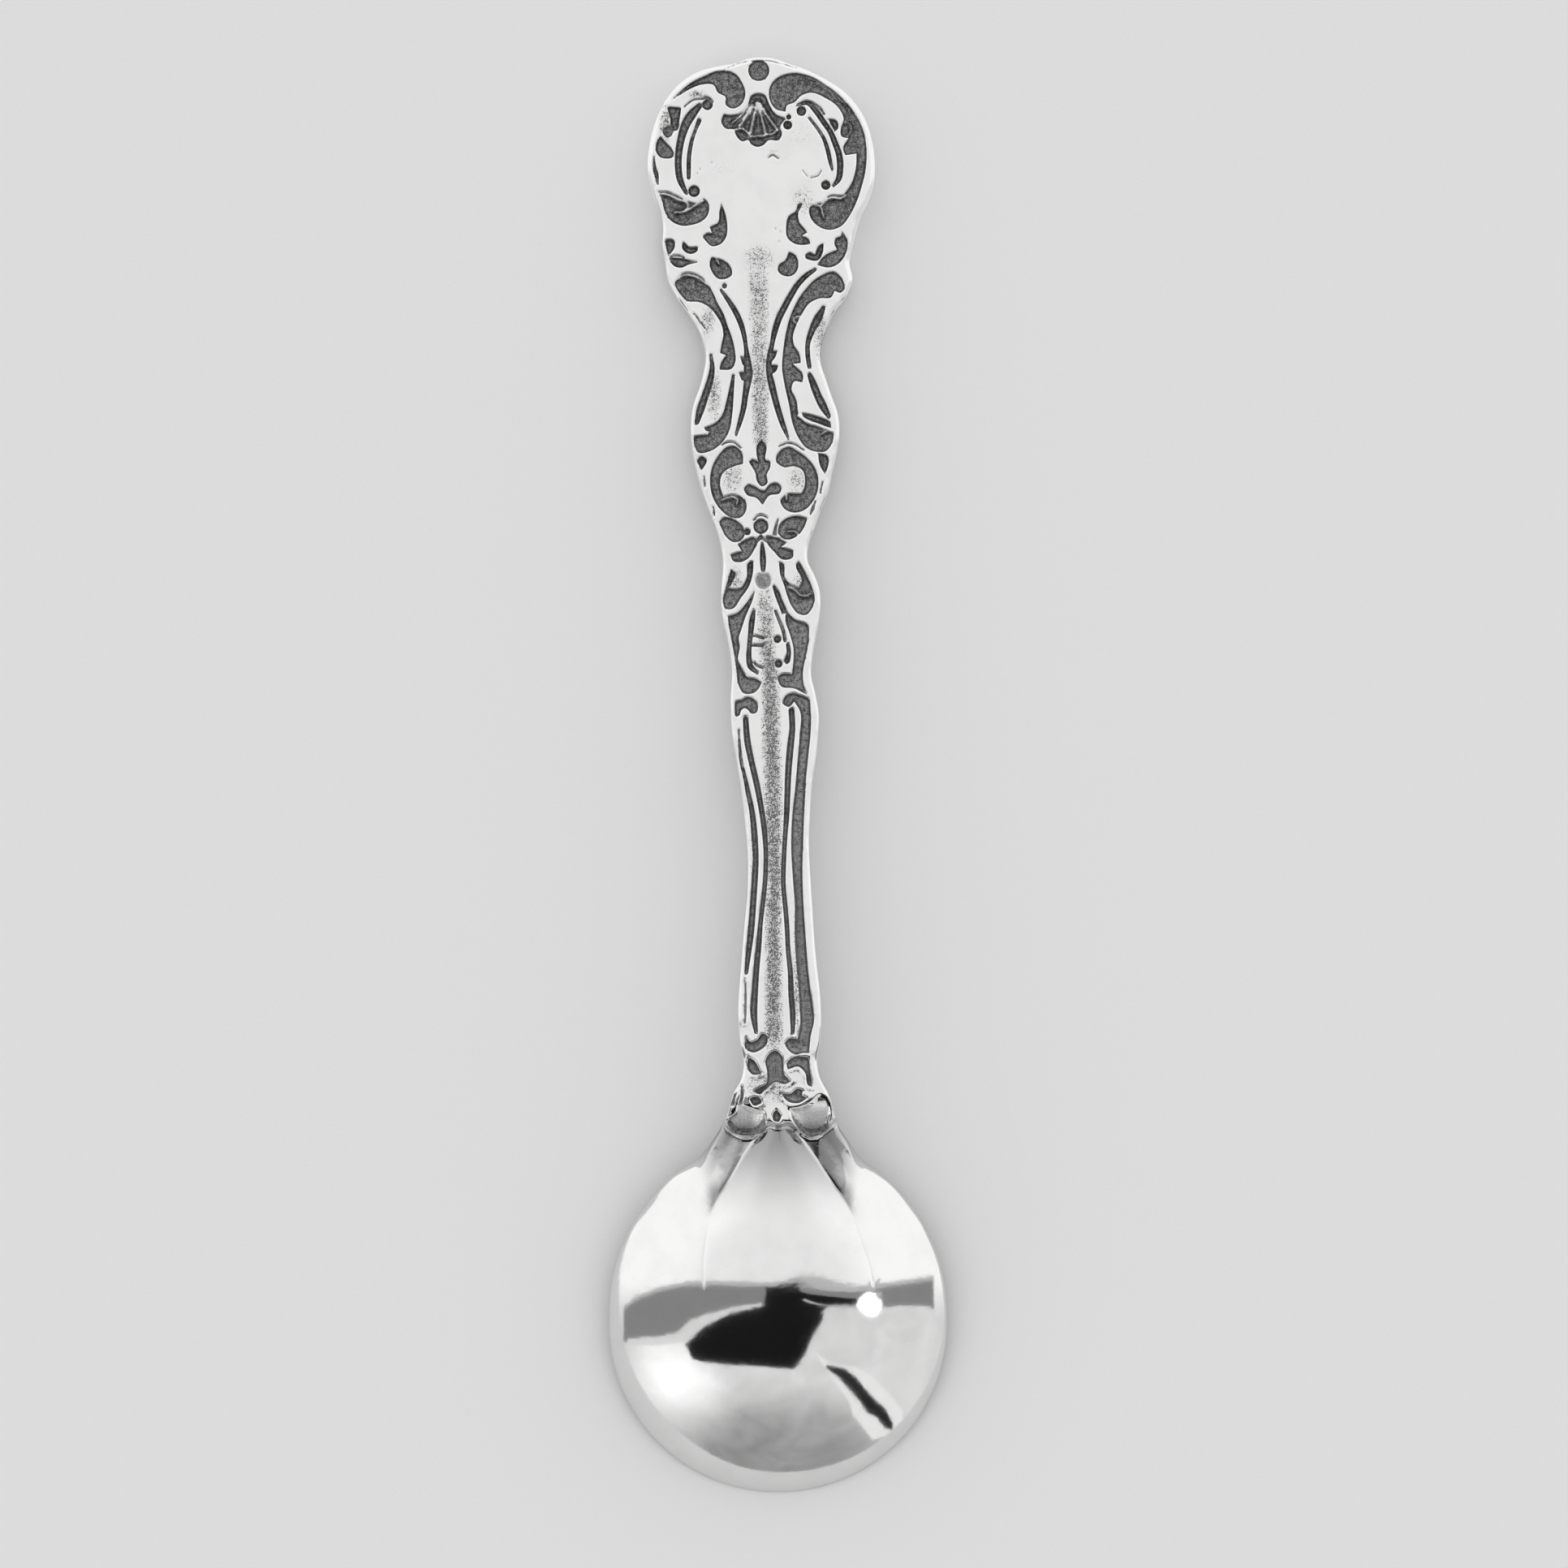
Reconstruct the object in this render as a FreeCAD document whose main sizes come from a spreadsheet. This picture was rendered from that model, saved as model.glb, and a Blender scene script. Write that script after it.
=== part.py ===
"""Salt spoon in one piece of silver, lying face down on its bowl rim and handle tip.

The back is up, +Y runs from the bowl to the handle tip, +X is to the right when the
spoon is seen from above, and z = 0 is the table it rests on.  All sizes are in mm.
"""
import FreeCAD, Part
import Sketcher
import math
import os

V = FreeCAD.Vector

# Driving sizes.  Distances called "reach" are measured from the middle of the bowl.
SIZES = {
    "bowl_diameter": 15.6,
    "bowl_depth": 3.92,
    "bowl_wall": 0.80,
    "rim_width": 0.55,
    "rim_land": 0.20,
    "bowl_tilt": 5.5,
    "tip_reach": 58.25,
    "lip_reach": 8.6,
    "heel_width": 3.90,
    "stem_width": 2.95,
    "belt_width": 6.92,
    "broad_width": 10.45,
    "neck_top": 4.12,
    "neck_underside": 1.62,
    "tip_thickness": 1.25,
    "back_bow": 0.35,
    "front_bow": 0.30,
    "rest_length": 2.25,
    "carving_depth": 0.32,
    "keel_width": 2.6,
    "web_thickness": 0.75,
}

# The drawn pattern belongs to these sizes; place() fits it to the driving ones.
DRAWN = {"lip_reach": 8.6, "tip_reach": 58.25}
DRAWN_WIDTHS = [
    (13.0, "heel_width", 3.90),
    (21.5, "stem_width", 2.95),
    (41.0, "belt_width", 6.92),
    (53.0, "broad_width", 10.45),
]
BACK_STRETCHES = 4
HANDLE_AXIS = [(8.0, 0.08), (28.0, -0.05), (34.0, -0.30), (41.0, -0.62), (58.25, -0.76)]

# Edge of the handle seen from above, as (x, reach), from the lip round the tip and back.
LEFT_EDGE = [
    (-2.45, 9.3), (-2.29, 9.9), (-2.08, 10.65), (-1.70, 11.4), (-1.62, 12.1),
    (-1.77, 12.9), (-1.87, 14.0), (-1.85, 15.1), (-1.74, 16.6), (-1.62, 18.1),
    (-1.47, 19.7), (-1.44, 21.5), (-1.59, 23.3), (-1.88, 25.5), (-2.15, 27.1),
    (-2.22, 28.6), (-2.16, 30.0), (-2.37, 31.5), (-2.60, 32.5), (-2.66, 33.5),
    (-2.57, 35.0), (-2.80, 36.3), (-3.26, 37.5), (-3.75, 39.0), (-4.04, 40.6),
    (-4.00, 42.0), (-3.55, 43.4), (-3.38, 44.4), (-3.58, 45.4), (-4.15, 46.4),
    (-4.72, 47.2), (-5.12, 48.0), (-5.24, 48.8), (-5.38, 49.6), (-5.34, 50.3),
    (-5.45, 51.1), (-5.76, 52.0), (-5.98, 53.1), (-5.88, 54.3), (-5.62, 55.3),
    (-5.20, 56.2), (-4.55, 57.0), (-3.55, 57.62), (-2.60, 57.85), (-1.90, 57.98),
]
TIP_CROWN = [(-1.35, 58.17), (-0.76, 58.25), (-0.15, 58.17)]
RIGHT_EDGE = [
    (0.45, 57.96), (1.20, 57.70), (2.10, 57.27), (2.95, 56.73), (3.55, 56.12),
    (4.02, 55.35), (4.30, 54.5), (4.45, 53.4), (4.40, 52.4), (4.15, 51.6),
    (3.80, 50.9), (3.60, 50.2), (3.42, 49.5), (3.28, 48.8), (3.42, 48.0),
    (3.18, 47.2), (2.65, 46.5), (2.25, 45.7), (2.01, 44.9), (2.02, 44.1),
    (2.25, 43.4), (2.52, 42.6), (2.78, 41.9), (2.87, 40.9), (2.76, 40.1),
    (2.56, 39.2), (2.34, 38.2), (2.02, 37.4), (1.70, 36.5), (1.44, 35.8),
    (1.40, 35.1), (1.72, 34.4), (1.94, 33.8), (2.00, 33.0), (1.92, 32.3),
    (1.77, 31.5), (1.60, 30.5), (1.57, 29.8), (1.75, 29.0), (1.92, 28.0),
    (1.88, 27.0), (1.78, 26.0), (1.62, 24.9), (1.51, 23.3), (1.47, 22.2),
    (1.53, 20.8), (1.62, 19.3), (1.70, 18.0), (1.81, 16.7), (1.98, 15.2),
    (2.03, 14.0), (1.95, 12.9), (1.83, 12.1), (1.96, 11.4), (2.35, 10.65),
    (2.58, 9.9), (2.60, 9.4),
]
# Lower end of the carved handle: two scooped lobes and a bead against the plain bowl.
LIP_EDGE = [
    (2.25, 9.0), (1.6, 8.6), (1.0, 8.85), (0.45, 9.2), (0.0, 9.1), (-0.4, 9.2),
    (-0.85, 8.8), (-1.5, 8.6), (-2.15, 8.9),
]


def pocket(*points):
    """A sunk field of the pattern with corners at the (x, reach) points."""
    return ("outline", list(points))


def groove(*spine):
    """A sunk stroke along (x, reach, half width) points."""
    return ("spine", list(spine))


def disc(x, reach, radius):
    """A round sunk dot."""
    return ("circle", (x, reach, radius))


BROAD_END = [
    disc(-0.88, 57.62, 0.48),
    pocket((-4.95, 56.2), (-4.0, 57.05), (-3.5, 57.3), (-2.75, 57.6), (-2.0, 57.48),
           (-1.6, 56.95), (-1.5, 56.55), (-1.75, 56.0), (-2.1, 55.87), (-2.4, 56.05),
           (-2.4, 56.4), (-2.75, 56.6), (-2.95, 56.95), (-3.5, 56.98), (-4.0, 56.8),
           (-4.5, 56.5)),
    disc(-3.24, 56.04, 0.24),
    groove((-3.6, 56.0, 0.12), (-3.95, 55.6, 0.20), (-4.25, 55.1, 0.20),
           (-4.44, 54.5, 0.17), (-4.55, 53.9, 0.16), (-4.58, 53.2, 0.15),
           (-4.50, 52.6, 0.14), (-4.22, 51.98, 0.08)),
    disc(-3.85, 52.05, 0.26),
    groove((-3.62, 55.3, 0.10), (-3.78, 54.9, 0.07), (-3.95, 54.4, 0.08),
           (-4.08, 53.7, 0.09), (-4.1, 53.0, 0.09), (-4.1, 52.65, 0.08)),
    pocket((-5.1, 55.95), (-4.45, 55.9), (-4.52, 55.4), (-4.68, 54.85), (-4.82, 54.85),
           (-4.95, 55.4)),
    pocket((-5.4, 54.6), (-5.15, 54.3), (-4.8, 53.8), (-4.85, 53.62), (-5.1, 53.57),
           (-5.4, 53.63), (-5.6, 53.9), (-5.58, 54.3)),
    pocket((-1.2, 56.48), (-0.6, 56.48), (-0.4, 56.05), (-0.1, 55.6), (0.35, 55.4),
           (0.1, 55.0), (0.18, 54.7), (0.05, 54.42), (-0.45, 54.4), (-0.65, 54.2),
           (-0.95, 54.1), (-1.25, 54.25), (-1.35, 54.42), (-1.62, 54.35), (-1.95, 54.7),
           (-2.0, 54.88), (-2.4, 54.95), (-2.6, 55.25), (-2.5, 55.6), (-2.2, 55.55),
           (-1.8, 55.62), (-1.4, 56.0)),
    disc(0.45, 55.1, 0.2),
    pocket((0.35, 55.72), (-0.1, 55.85), (-0.38, 56.3), (-0.38, 56.8), (-0.1, 57.22),
           (0.6, 57.48), (1.4, 57.38), (2.3, 56.88), (3.0, 56.3), (3.55, 55.62),
           (3.95, 54.75), (4.07, 53.9), (4.0, 52.9), (3.85, 52.3), (3.6, 51.55),
           (3.3, 50.95), (2.9, 50.45), (2.4, 50.28), (1.85, 50.45), (1.48, 50.9),
           (1.45, 51.25), (1.7, 51.47), (2.0, 51.53), (2.35, 51.85), (3.0, 51.9),
           (3.35, 52.35), (3.6, 53.2), (3.62, 53.8), (3.1, 53.72), (3.0, 54.0),
           (3.25, 54.5), (2.92, 54.6), (2.9, 54.95), (3.03, 55.35), (2.75, 55.95),
           (2.2, 56.35), (1.5, 56.6), (1.05, 56.45), (0.75, 56.15), (0.4, 56.0)),
    groove((0.95, 56.05, 0.07), (1.35, 56.13, 0.10), (1.75, 55.75, 0.12),
           (2.1, 55.25, 0.12), (2.38, 54.85, 0.12), (2.62, 54.3, 0.13),
           (2.82, 53.7, 0.14), (2.86, 53.1, 0.14), (2.78, 52.6, 0.12),
           (2.55, 52.3, 0.06)),
    disc(1.08, 55.75, 0.22),
    disc(2.20, 52.33, 0.21),
    groove((1.45, 55.42, 0.06), (1.85, 54.9, 0.07), (2.1, 54.5, 0.08),
           (2.3, 53.9, 0.09), (2.42, 53.35, 0.08), (2.5, 53.05, 0.06)),
    pocket((2.3, 55.4), (2.72, 55.28), (2.76, 54.95), (2.62, 54.8)),
    pocket((-5.5, 52.05), (-5.0, 52.03), (-4.6, 51.85), (-4.1, 51.58), (-3.75, 51.5),
           (-3.4, 51.72), (-3.2, 51.5), (-3.17, 51.15), (-3.3, 50.85), (-3.6, 50.62),
           (-4.0, 50.5), (-4.4, 50.47), (-4.8, 50.62), (-5.05, 50.85), (-5.2, 51.15),
           (-5.3, 51.55)),
    pocket((-2.6, 51.5), (-2.45, 51.1), (-2.33, 50.4), (-2.38, 49.95), (-2.6, 49.65),
           (-3.0, 49.52), (-3.45, 49.92), (-3.35, 50.07), (-3.02, 50.12), (-3.13, 50.4),
           (-2.75, 50.6), (-2.68, 51.1)),
    pocket((-5.0, 49.85), (-4.78, 49.8), (-4.74, 49.5), (-5.02, 49.08), (-5.15, 49.5),
           (-5.15, 49.8)),
    pocket((-4.35, 49.75), (-4.4, 49.45), (-4.2, 49.22), (-3.95, 49.17), (-3.68, 49.35),
           (-3.68, 49.5), (-4.05, 49.48)),
    pocket((-5.0, 49.0), (-4.35, 48.95), (-4.0, 48.85), (-3.6, 48.78), (-4.15, 48.66),
           (-4.4, 48.54), (-4.7, 48.58), (-4.92, 48.78)),
    pocket((-3.05, 49.0), (-2.75, 48.95), (-2.4, 48.8), (-2.13, 48.45), (-2.12, 48.2),
           (-2.4, 48.02), (-2.75, 48.03), (-3.0, 48.3), (-3.13, 48.75)),
    pocket((1.15, 51.48), (0.98, 51.48), (0.8, 51.1), (0.55, 50.95), (0.38, 50.35),
           (0.45, 49.9), (0.75, 49.65), (1.15, 49.58), (1.5, 49.63), (1.4, 49.85),
           (1.08, 50.0), (1.35, 50.15), (0.95, 50.7), (0.92, 51.0)),
    pocket((2.1, 49.65), (1.9, 49.55), (1.7, 49.12), (1.45, 49.23), (1.27, 49.12),
           (1.27, 48.98), (1.5, 48.88), (1.85, 48.88), (2.03, 49.15)),
    pocket((2.95, 50.2), (3.2, 49.75), (3.2, 49.5), (3.05, 49.05), (2.75, 48.7),
           (2.4, 48.55), (1.8, 48.65), (2.15, 49.08), (2.72, 49.35), (2.6, 49.65),
           (2.68, 49.9), (2.88, 49.97)),
    pocket((0.5, 49.25), (0.8, 49.1), (0.93, 48.75), (0.85, 48.35), (0.6, 48.15),
           (0.25, 48.17), (0.0, 48.4), (0.05, 48.65), (0.35, 48.87)),
]

WAIST = [
    pocket((-4.72, 47.8), (-4.5, 48.2), (-4.1, 48.32), (-3.7, 48.22), (-3.3, 47.9),
           (-3.0, 47.4), (-2.75, 46.85), (-2.5, 46.4), (-2.33, 45.9), (-2.1, 45.25),
           (-1.98, 44.7), (-1.96, 44.2), (-2.1, 43.9), (-2.68, 43.83), (-2.62, 44.1),
           (-2.38, 44.5), (-2.65, 44.6), (-2.58, 45.0), (-2.5, 45.4), (-2.58, 45.9),
           (-2.8, 46.3), (-3.2, 46.75), (-3.6, 46.95), (-4.2, 47.02), (-4.5, 47.35)),
    groove((-2.62, 47.5, 0.06), (-2.2, 46.9, 0.10), (-1.95, 46.5, 0.12),
           (-1.72, 46.0, 0.12), (-1.55, 45.4, 0.10), (-1.46, 44.8, 0.09),
           (-1.4, 44.2, 0.16), (-1.36, 43.6, 0.20), (-1.43, 43.05, 0.15),
           (-1.5, 42.6, 0.13), (-1.57, 42.1, 0.12), (-1.72, 41.5, 0.10),
           (-1.92, 40.85, 0.06)),
    groove((-3.07, 44.5, 0.06), (-3.02, 43.9, 0.11), (-3.12, 43.3, 0.15),
           (-3.35, 42.6, 0.16), (-3.55, 42.0, 0.17), (-3.72, 41.4, 0.10)),
    pocket((-1.98, 43.6), (-2.02, 43.0), (-2.05, 42.4), (-2.1, 41.8), (-2.25, 41.0),
           (-2.6, 40.45), (-3.1, 40.1), (-3.65, 40.03), (-3.85, 40.5), (-3.85, 40.78),
           (-3.2, 40.85), (-3.38, 41.15), (-2.85, 41.4), (-2.55, 41.75), (-2.38, 42.3),
           (-2.22, 43.0), (-2.1, 43.6)),
    groove((1.72, 48.45, 0.07), (1.35, 48.2, 0.11), (0.95, 47.8, 0.12),
           (0.6, 47.25, 0.13), (0.3, 46.7, 0.14), (0.05, 46.2, 0.14),
           (-0.13, 45.65, 0.13), (-0.27, 45.0, 0.10), (-0.38, 44.4, 0.13),
           (-0.42, 43.8, 0.12), (-0.3, 43.2, 0.15), (-0.13, 42.5, 0.14),
           (0.05, 41.85, 0.13), (0.25, 41.25, 0.11), (0.47, 40.7, 0.05)),
    pocket((2.65, 48.3), (2.95, 48.0), (3.05, 47.55), (2.88, 47.38), (2.6, 47.48),
           (2.45, 47.18), (1.9, 47.12), (1.45, 46.9), (1.1, 46.4), (0.85, 45.9),
           (0.68, 45.3), (0.72, 45.0), (1.0, 44.5), (1.05, 44.15), (0.68, 44.1),
           (1.15, 43.55), (1.12, 43.25), (0.75, 43.3), (0.62, 43.0), (0.85, 42.4),
           (0.97, 41.75), (1.25, 41.4), (2.0, 41.2), (2.5, 41.0), (2.45, 40.4),
           (2.2, 40.1), (1.7, 40.08), (1.3, 40.25), (0.95, 40.7), (0.7, 41.3),
           (0.5, 42.3), (0.32, 43.1), (0.2, 43.9), (0.25, 44.7), (0.37, 45.5),
           (0.55, 46.2), (0.85, 46.9), (1.25, 47.5), (1.8, 48.05)),
    groove((2.1, 46.7, 0.08), (1.85, 46.2, 0.18), (1.55, 45.6, 0.14),
           (1.37, 45.0, 0.10), (1.37, 44.5, 0.10), (1.45, 43.95, 0.09)),
    groove((1.45, 43.6, 0.10), (1.65, 43.1, 0.16), (1.85, 42.6, 0.17),
           (2.1, 42.1, 0.17), (2.33, 41.7, 0.10)),
]

BELT = [
    pocket((-0.75, 40.6), (-0.55, 40.35), (-0.52, 39.65), (-0.38, 39.62), (-0.35, 39.4),
           (-0.52, 39.0), (-0.5, 38.6), (-0.72, 38.47), (-0.95, 38.7), (-1.02, 39.05),
           (-1.33, 39.6), (-1.18, 39.7), (-0.9, 39.6), (-0.98, 40.0), (-0.95, 40.35)),
    pocket((-1.55, 38.35), (-1.35, 38.55), (-1.1, 38.48), (-0.65, 38.27), (-0.35, 38.57),
           (-0.05, 38.62), (0.15, 38.45), (0.1, 38.18), (-0.4, 38.05), (-0.7, 37.62),
           (-1.0, 37.95), (-1.4, 38.07)),
    pocket((-1.6, 39.5), (-1.65, 40.0), (-1.95, 40.3), (-2.3, 40.28), (-2.75, 39.85),
           (-3.05, 39.2), (-3.1, 38.5), (-2.95, 37.9), (-2.55, 37.33), (-2.1, 37.03),
           (-1.75, 37.03), (-1.45, 37.4), (-1.5, 37.8), (-2.0, 38.1), (-2.5, 38.0),
           (-2.66, 38.5), (-2.55, 39.05), (-1.95, 39.42)),
    pocket((-0.08, 39.62), (0.15, 40.15), (0.5, 40.27), (0.9, 40.08), (1.45, 39.65),
           (1.8, 39.05), (1.84, 38.4), (1.6, 37.78), (1.2, 37.38), (0.75, 37.27),
           (0.3, 37.45), (0.12, 37.8), (0.4, 38.1), (1.1, 38.18), (1.25, 38.65),
           (1.1, 39.25), (0.7, 39.4), (0.3, 39.35)),
    pocket((-3.68, 39.7), (-3.48, 39.85), (-3.28, 39.7), (-3.5, 39.2)),
    pocket((1.84, 40.0), (2.28, 39.85), (2.3, 39.4), (2.15, 39.05), (1.95, 39.4)),
]

KNUCKLE = [
    pocket((-2.68, 36.85), (-2.5, 37.02), (-2.0, 36.95), (-1.68, 36.7), (-1.52, 36.3),
           (-1.7, 35.98), (-2.05, 35.92), (-2.4, 36.2), (-2.58, 36.55)),
    disc(-0.78, 36.63, 0.34),
    pocket((-1.1, 36.12), (-0.95, 35.9), (-1.1, 35.55), (-1.35, 35.18), (-1.7, 35.0),
           (-2.05, 35.05), (-2.18, 35.33), (-1.65, 35.5), (-1.85, 35.8), (-1.4, 36.05)),
    pocket((-0.55, 36.2), (0.0, 36.1), (0.42, 35.88), (0.12, 35.68), (0.7, 35.53),
           (0.68, 35.22), (0.2, 35.12), (-0.15, 35.45), (-0.5, 35.9)),
    groove((-0.72, 35.85, 0.06), (-0.7, 35.4, 0.12), (-0.68, 34.9, 0.13),
           (-0.68, 34.65, 0.10)),
    pocket((0.02, 36.3), (0.1, 36.75), (0.45, 37.02), (0.85, 37.1), (1.35, 37.0),
           (1.2, 36.6), (0.95, 36.25), (0.4, 36.03)),
    disc(-0.67, 34.12, 0.42),
    pocket((-1.13, 35.05), (-1.15, 34.5), (-1.35, 33.85), (-1.7, 33.35), (-2.1, 32.85),
           (-2.4, 32.85), (-2.52, 33.2), (-2.4, 33.75), (-2.15, 34.65), (-1.95, 34.5),
           (-2.1, 34.05), (-2.25, 33.78), (-1.75, 33.78), (-1.45, 34.2), (-1.3, 35.0)),
    pocket((-2.3, 32.5), (-1.95, 32.6), (-1.45, 33.1), (-1.03, 33.75), (-1.15, 33.3),
           (-1.5, 32.45), (-1.68, 31.9), (-1.8, 31.5), (-1.75, 31.1), (-1.83, 30.5),
           (-1.65, 30.1), (-1.4, 29.72), (-1.0, 29.63), (-0.75, 29.48), (-0.88, 29.2),
           (-1.1, 29.0), (-1.6, 29.0), (-1.78, 29.3), (-1.9, 30.1), (-2.05, 31.0),
           (-2.2, 31.8)),
    groove((-1.1, 32.75, 0.07), (-1.2, 32.2, 0.13), (-1.25, 31.7, 0.11),
           (-1.31, 31.1, 0.10), (-1.33, 30.6, 0.12), (-1.25, 30.2, 0.13),
           (-0.95, 29.92, 0.07)),
    groove((-0.12, 32.75, 0.06), (0.08, 32.25, 0.07), (0.27, 31.75, 0.08),
           (0.33, 31.4, 0.08)),
    disc(-0.02, 31.45, 0.17),
    groove((0.46, 31.2, 0.08), (0.5, 30.8, 0.10), (0.42, 30.45, 0.13)),
    disc(0.03, 30.33, 0.18),
    groove((-0.17, 33.85, 0.07), (-0.02, 33.5, 0.12), (0.13, 33.1, 0.12),
           (0.28, 32.75, 0.13)),
    pocket((0.38, 32.75), (0.8, 32.35), (1.38, 32.1), (1.42, 31.6), (1.28, 30.7),
           (1.14, 29.9), (1.17, 29.4), (1.35, 28.9), (1.1, 29.03), (0.75, 29.2),
           (0.15, 29.3), (0.02, 29.75), (0.15, 29.85), (0.65, 29.85), (0.72, 30.5),
           (0.72, 31.0), (0.55, 31.7), (0.35, 32.3)),
    pocket((0.05, 35.0), (0.2, 34.95), (0.35, 34.2), (0.55, 34.0), (0.95, 33.8),
           (1.1, 34.1), (0.85, 34.9), (0.95, 35.05), (1.3, 34.4), (1.6, 33.7),
           (1.68, 33.3), (1.55, 32.85), (1.3, 32.58), (0.95, 32.62), (0.65, 32.95),
           (0.45, 33.4), (0.3, 33.9), (0.12, 34.4)),
]

STEM = [
    disc(-1.17, 28.35, 0.27),
    pocket((-1.92, 28.7), (-1.5, 28.72), (-1.5, 28.3), (-1.62, 28.0), (-1.8, 27.8),
           (-1.95, 28.2)),
    groove((-1.48, 27.8, 0.12), (-1.4, 26.8, 0.14), (-1.2, 25.8, 0.13),
           (-0.97, 24.8, 0.13), (-0.78, 23.8, 0.12), (-0.63, 22.8, 0.12),
           (-0.55, 21.7, 0.10), (-0.57, 20.6, 0.10), (-0.67, 19.5, 0.10),
           (-0.80, 18.4, 0.10), (-0.88, 17.4, 0.12), (-0.98, 16.4, 0.13),
           (-1.05, 15.4, 0.14), (-1.1, 14.2, 0.15), (-1.0, 13.45, 0.08)),
    groove((-1.60, 25.5, 0.07), (-1.38, 24.5, 0.10), (-1.18, 23.5, 0.12),
           (-1.08, 22.5, 0.14), (-1.02, 21.3, 0.13), (-1.08, 20.2, 0.14),
           (-1.16, 19.0, 0.14), (-1.24, 18.0, 0.14), (-1.36, 17.0, 0.12),
           (-1.45, 16.15, 0.08)),
    groove((0.62, 28.2, 0.13), (0.66, 27.4, 0.13), (0.56, 26.4, 0.15),
           (0.48, 25.4, 0.14), (0.44, 24.4, 0.13), (0.40, 23.4, 0.12),
           (0.33, 22.4, 0.10), (0.27, 21.3, 0.10), (0.25, 20.2, 0.10),
           (0.34, 19.2, 0.10), (0.42, 18.2, 0.10), (0.47, 17.2, 0.10),
           (0.57, 16.2, 0.11), (0.61, 15.2, 0.12), (0.68, 14.2, 0.12),
           (0.68, 13.4, 0.08)),
    pocket((0.2, 28.5), (0.35, 28.85), (0.7, 28.98), (1.0, 28.9), (1.38, 28.75),
           (1.5, 28.1), (1.5, 27.3), (1.4, 26.2), (1.27, 24.9), (1.2, 23.6),
           (1.15, 22.2), (1.12, 20.9), (1.16, 19.4), (1.25, 18.0), (1.33, 16.9),
           (1.45, 15.6), (1.6, 14.6), (1.65, 14.0), (1.5, 13.3), (1.42, 12.5),
           (1.1, 12.5), (0.85, 12.43), (0.45, 12.68), (0.33, 12.95), (0.5, 13.15),
           (0.9, 13.12), (1.02, 13.7), (1.0, 14.6), (0.95, 15.5), (0.85, 16.6),
           (0.78, 17.8), (0.78, 19.3), (0.7, 20.4), (0.62, 21.8), (0.66, 23.3),
           (0.8, 24.6), (0.9, 25.8), (1.0, 27.0), (1.0, 28.2), (0.75, 28.6),
           (0.5, 28.35)),
]

NECK = [
    pocket((-0.5, 13.3), (-0.72, 13.38), (-0.95, 13.1), (-1.25, 13.0), (-1.45, 13.25),
           (-1.5, 12.75), (-1.15, 12.53), (-0.75, 12.68), (-0.5, 12.95)),
    pocket((-0.1, 12.6), (0.15, 12.42), (0.25, 12.0), (0.28, 11.55), (0.6, 11.2),
           (0.3, 11.08), (-0.1, 11.18), (-0.5, 10.9), (-0.85, 10.62), (-1.15, 10.78),
           (-0.5, 11.15), (-0.48, 11.6), (-0.55, 12.2), (-0.35, 12.5)),
    pocket((-1.35, 12.3), (-1.12, 12.18), (-0.85, 11.75), (-0.75, 11.55), (-1.15, 11.52),
           (-1.4, 11.85)),
    pocket((0.42, 12.05), (0.7, 12.3), (1.4, 12.3), (1.47, 11.7), (1.57, 10.95),
           (1.42, 11.0), (1.25, 11.6), (0.95, 11.88), (0.45, 11.75)),
    pocket((-1.3, 10.4), (-1.1, 10.5), (-0.8, 10.42), (-0.75, 10.2), (-1.1, 10.1)),
    pocket((0.15, 10.65), (0.55, 10.62), (0.9, 10.86), (1.15, 10.8), (1.1, 10.57),
           (1.35, 10.45), (0.95, 10.22), (0.45, 10.3)),
    pocket((-2.2, 9.55), (-1.9, 9.75), (-1.0, 9.6), (-0.62, 9.5), (-0.7, 9.1),
           (-1.0, 8.88), (-1.5, 8.8), (-2.0, 8.98)),
    pocket((0.7, 9.6), (1.4, 9.62), (2.2, 9.5), (2.35, 9.35), (2.1, 9.02),
           (1.6, 8.8), (1.15, 8.95), (0.85, 9.25)),
    pocket((-0.05, 9.92), (0.15, 9.6), (0.05, 9.35), (-0.18, 9.4), (-0.2, 9.75)),
]
CARVING = {"broad_end": BROAD_END, "waist": WAIST, "belt": BELT,
           "knuckle": KNUCKLE, "stem": STEM, "neck": NECK}


def blend(knots, at):
    """Value at a place along a line of (place, value) knots, level beyond its ends."""
    if at <= knots[0][0]:
        return knots[0][1]
    for (a, first), (b, second) in zip(knots, knots[1:]):
        if at <= b:
            return first + (second - first) * (at - a) / (b - a)
    return knots[-1][1]


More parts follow.
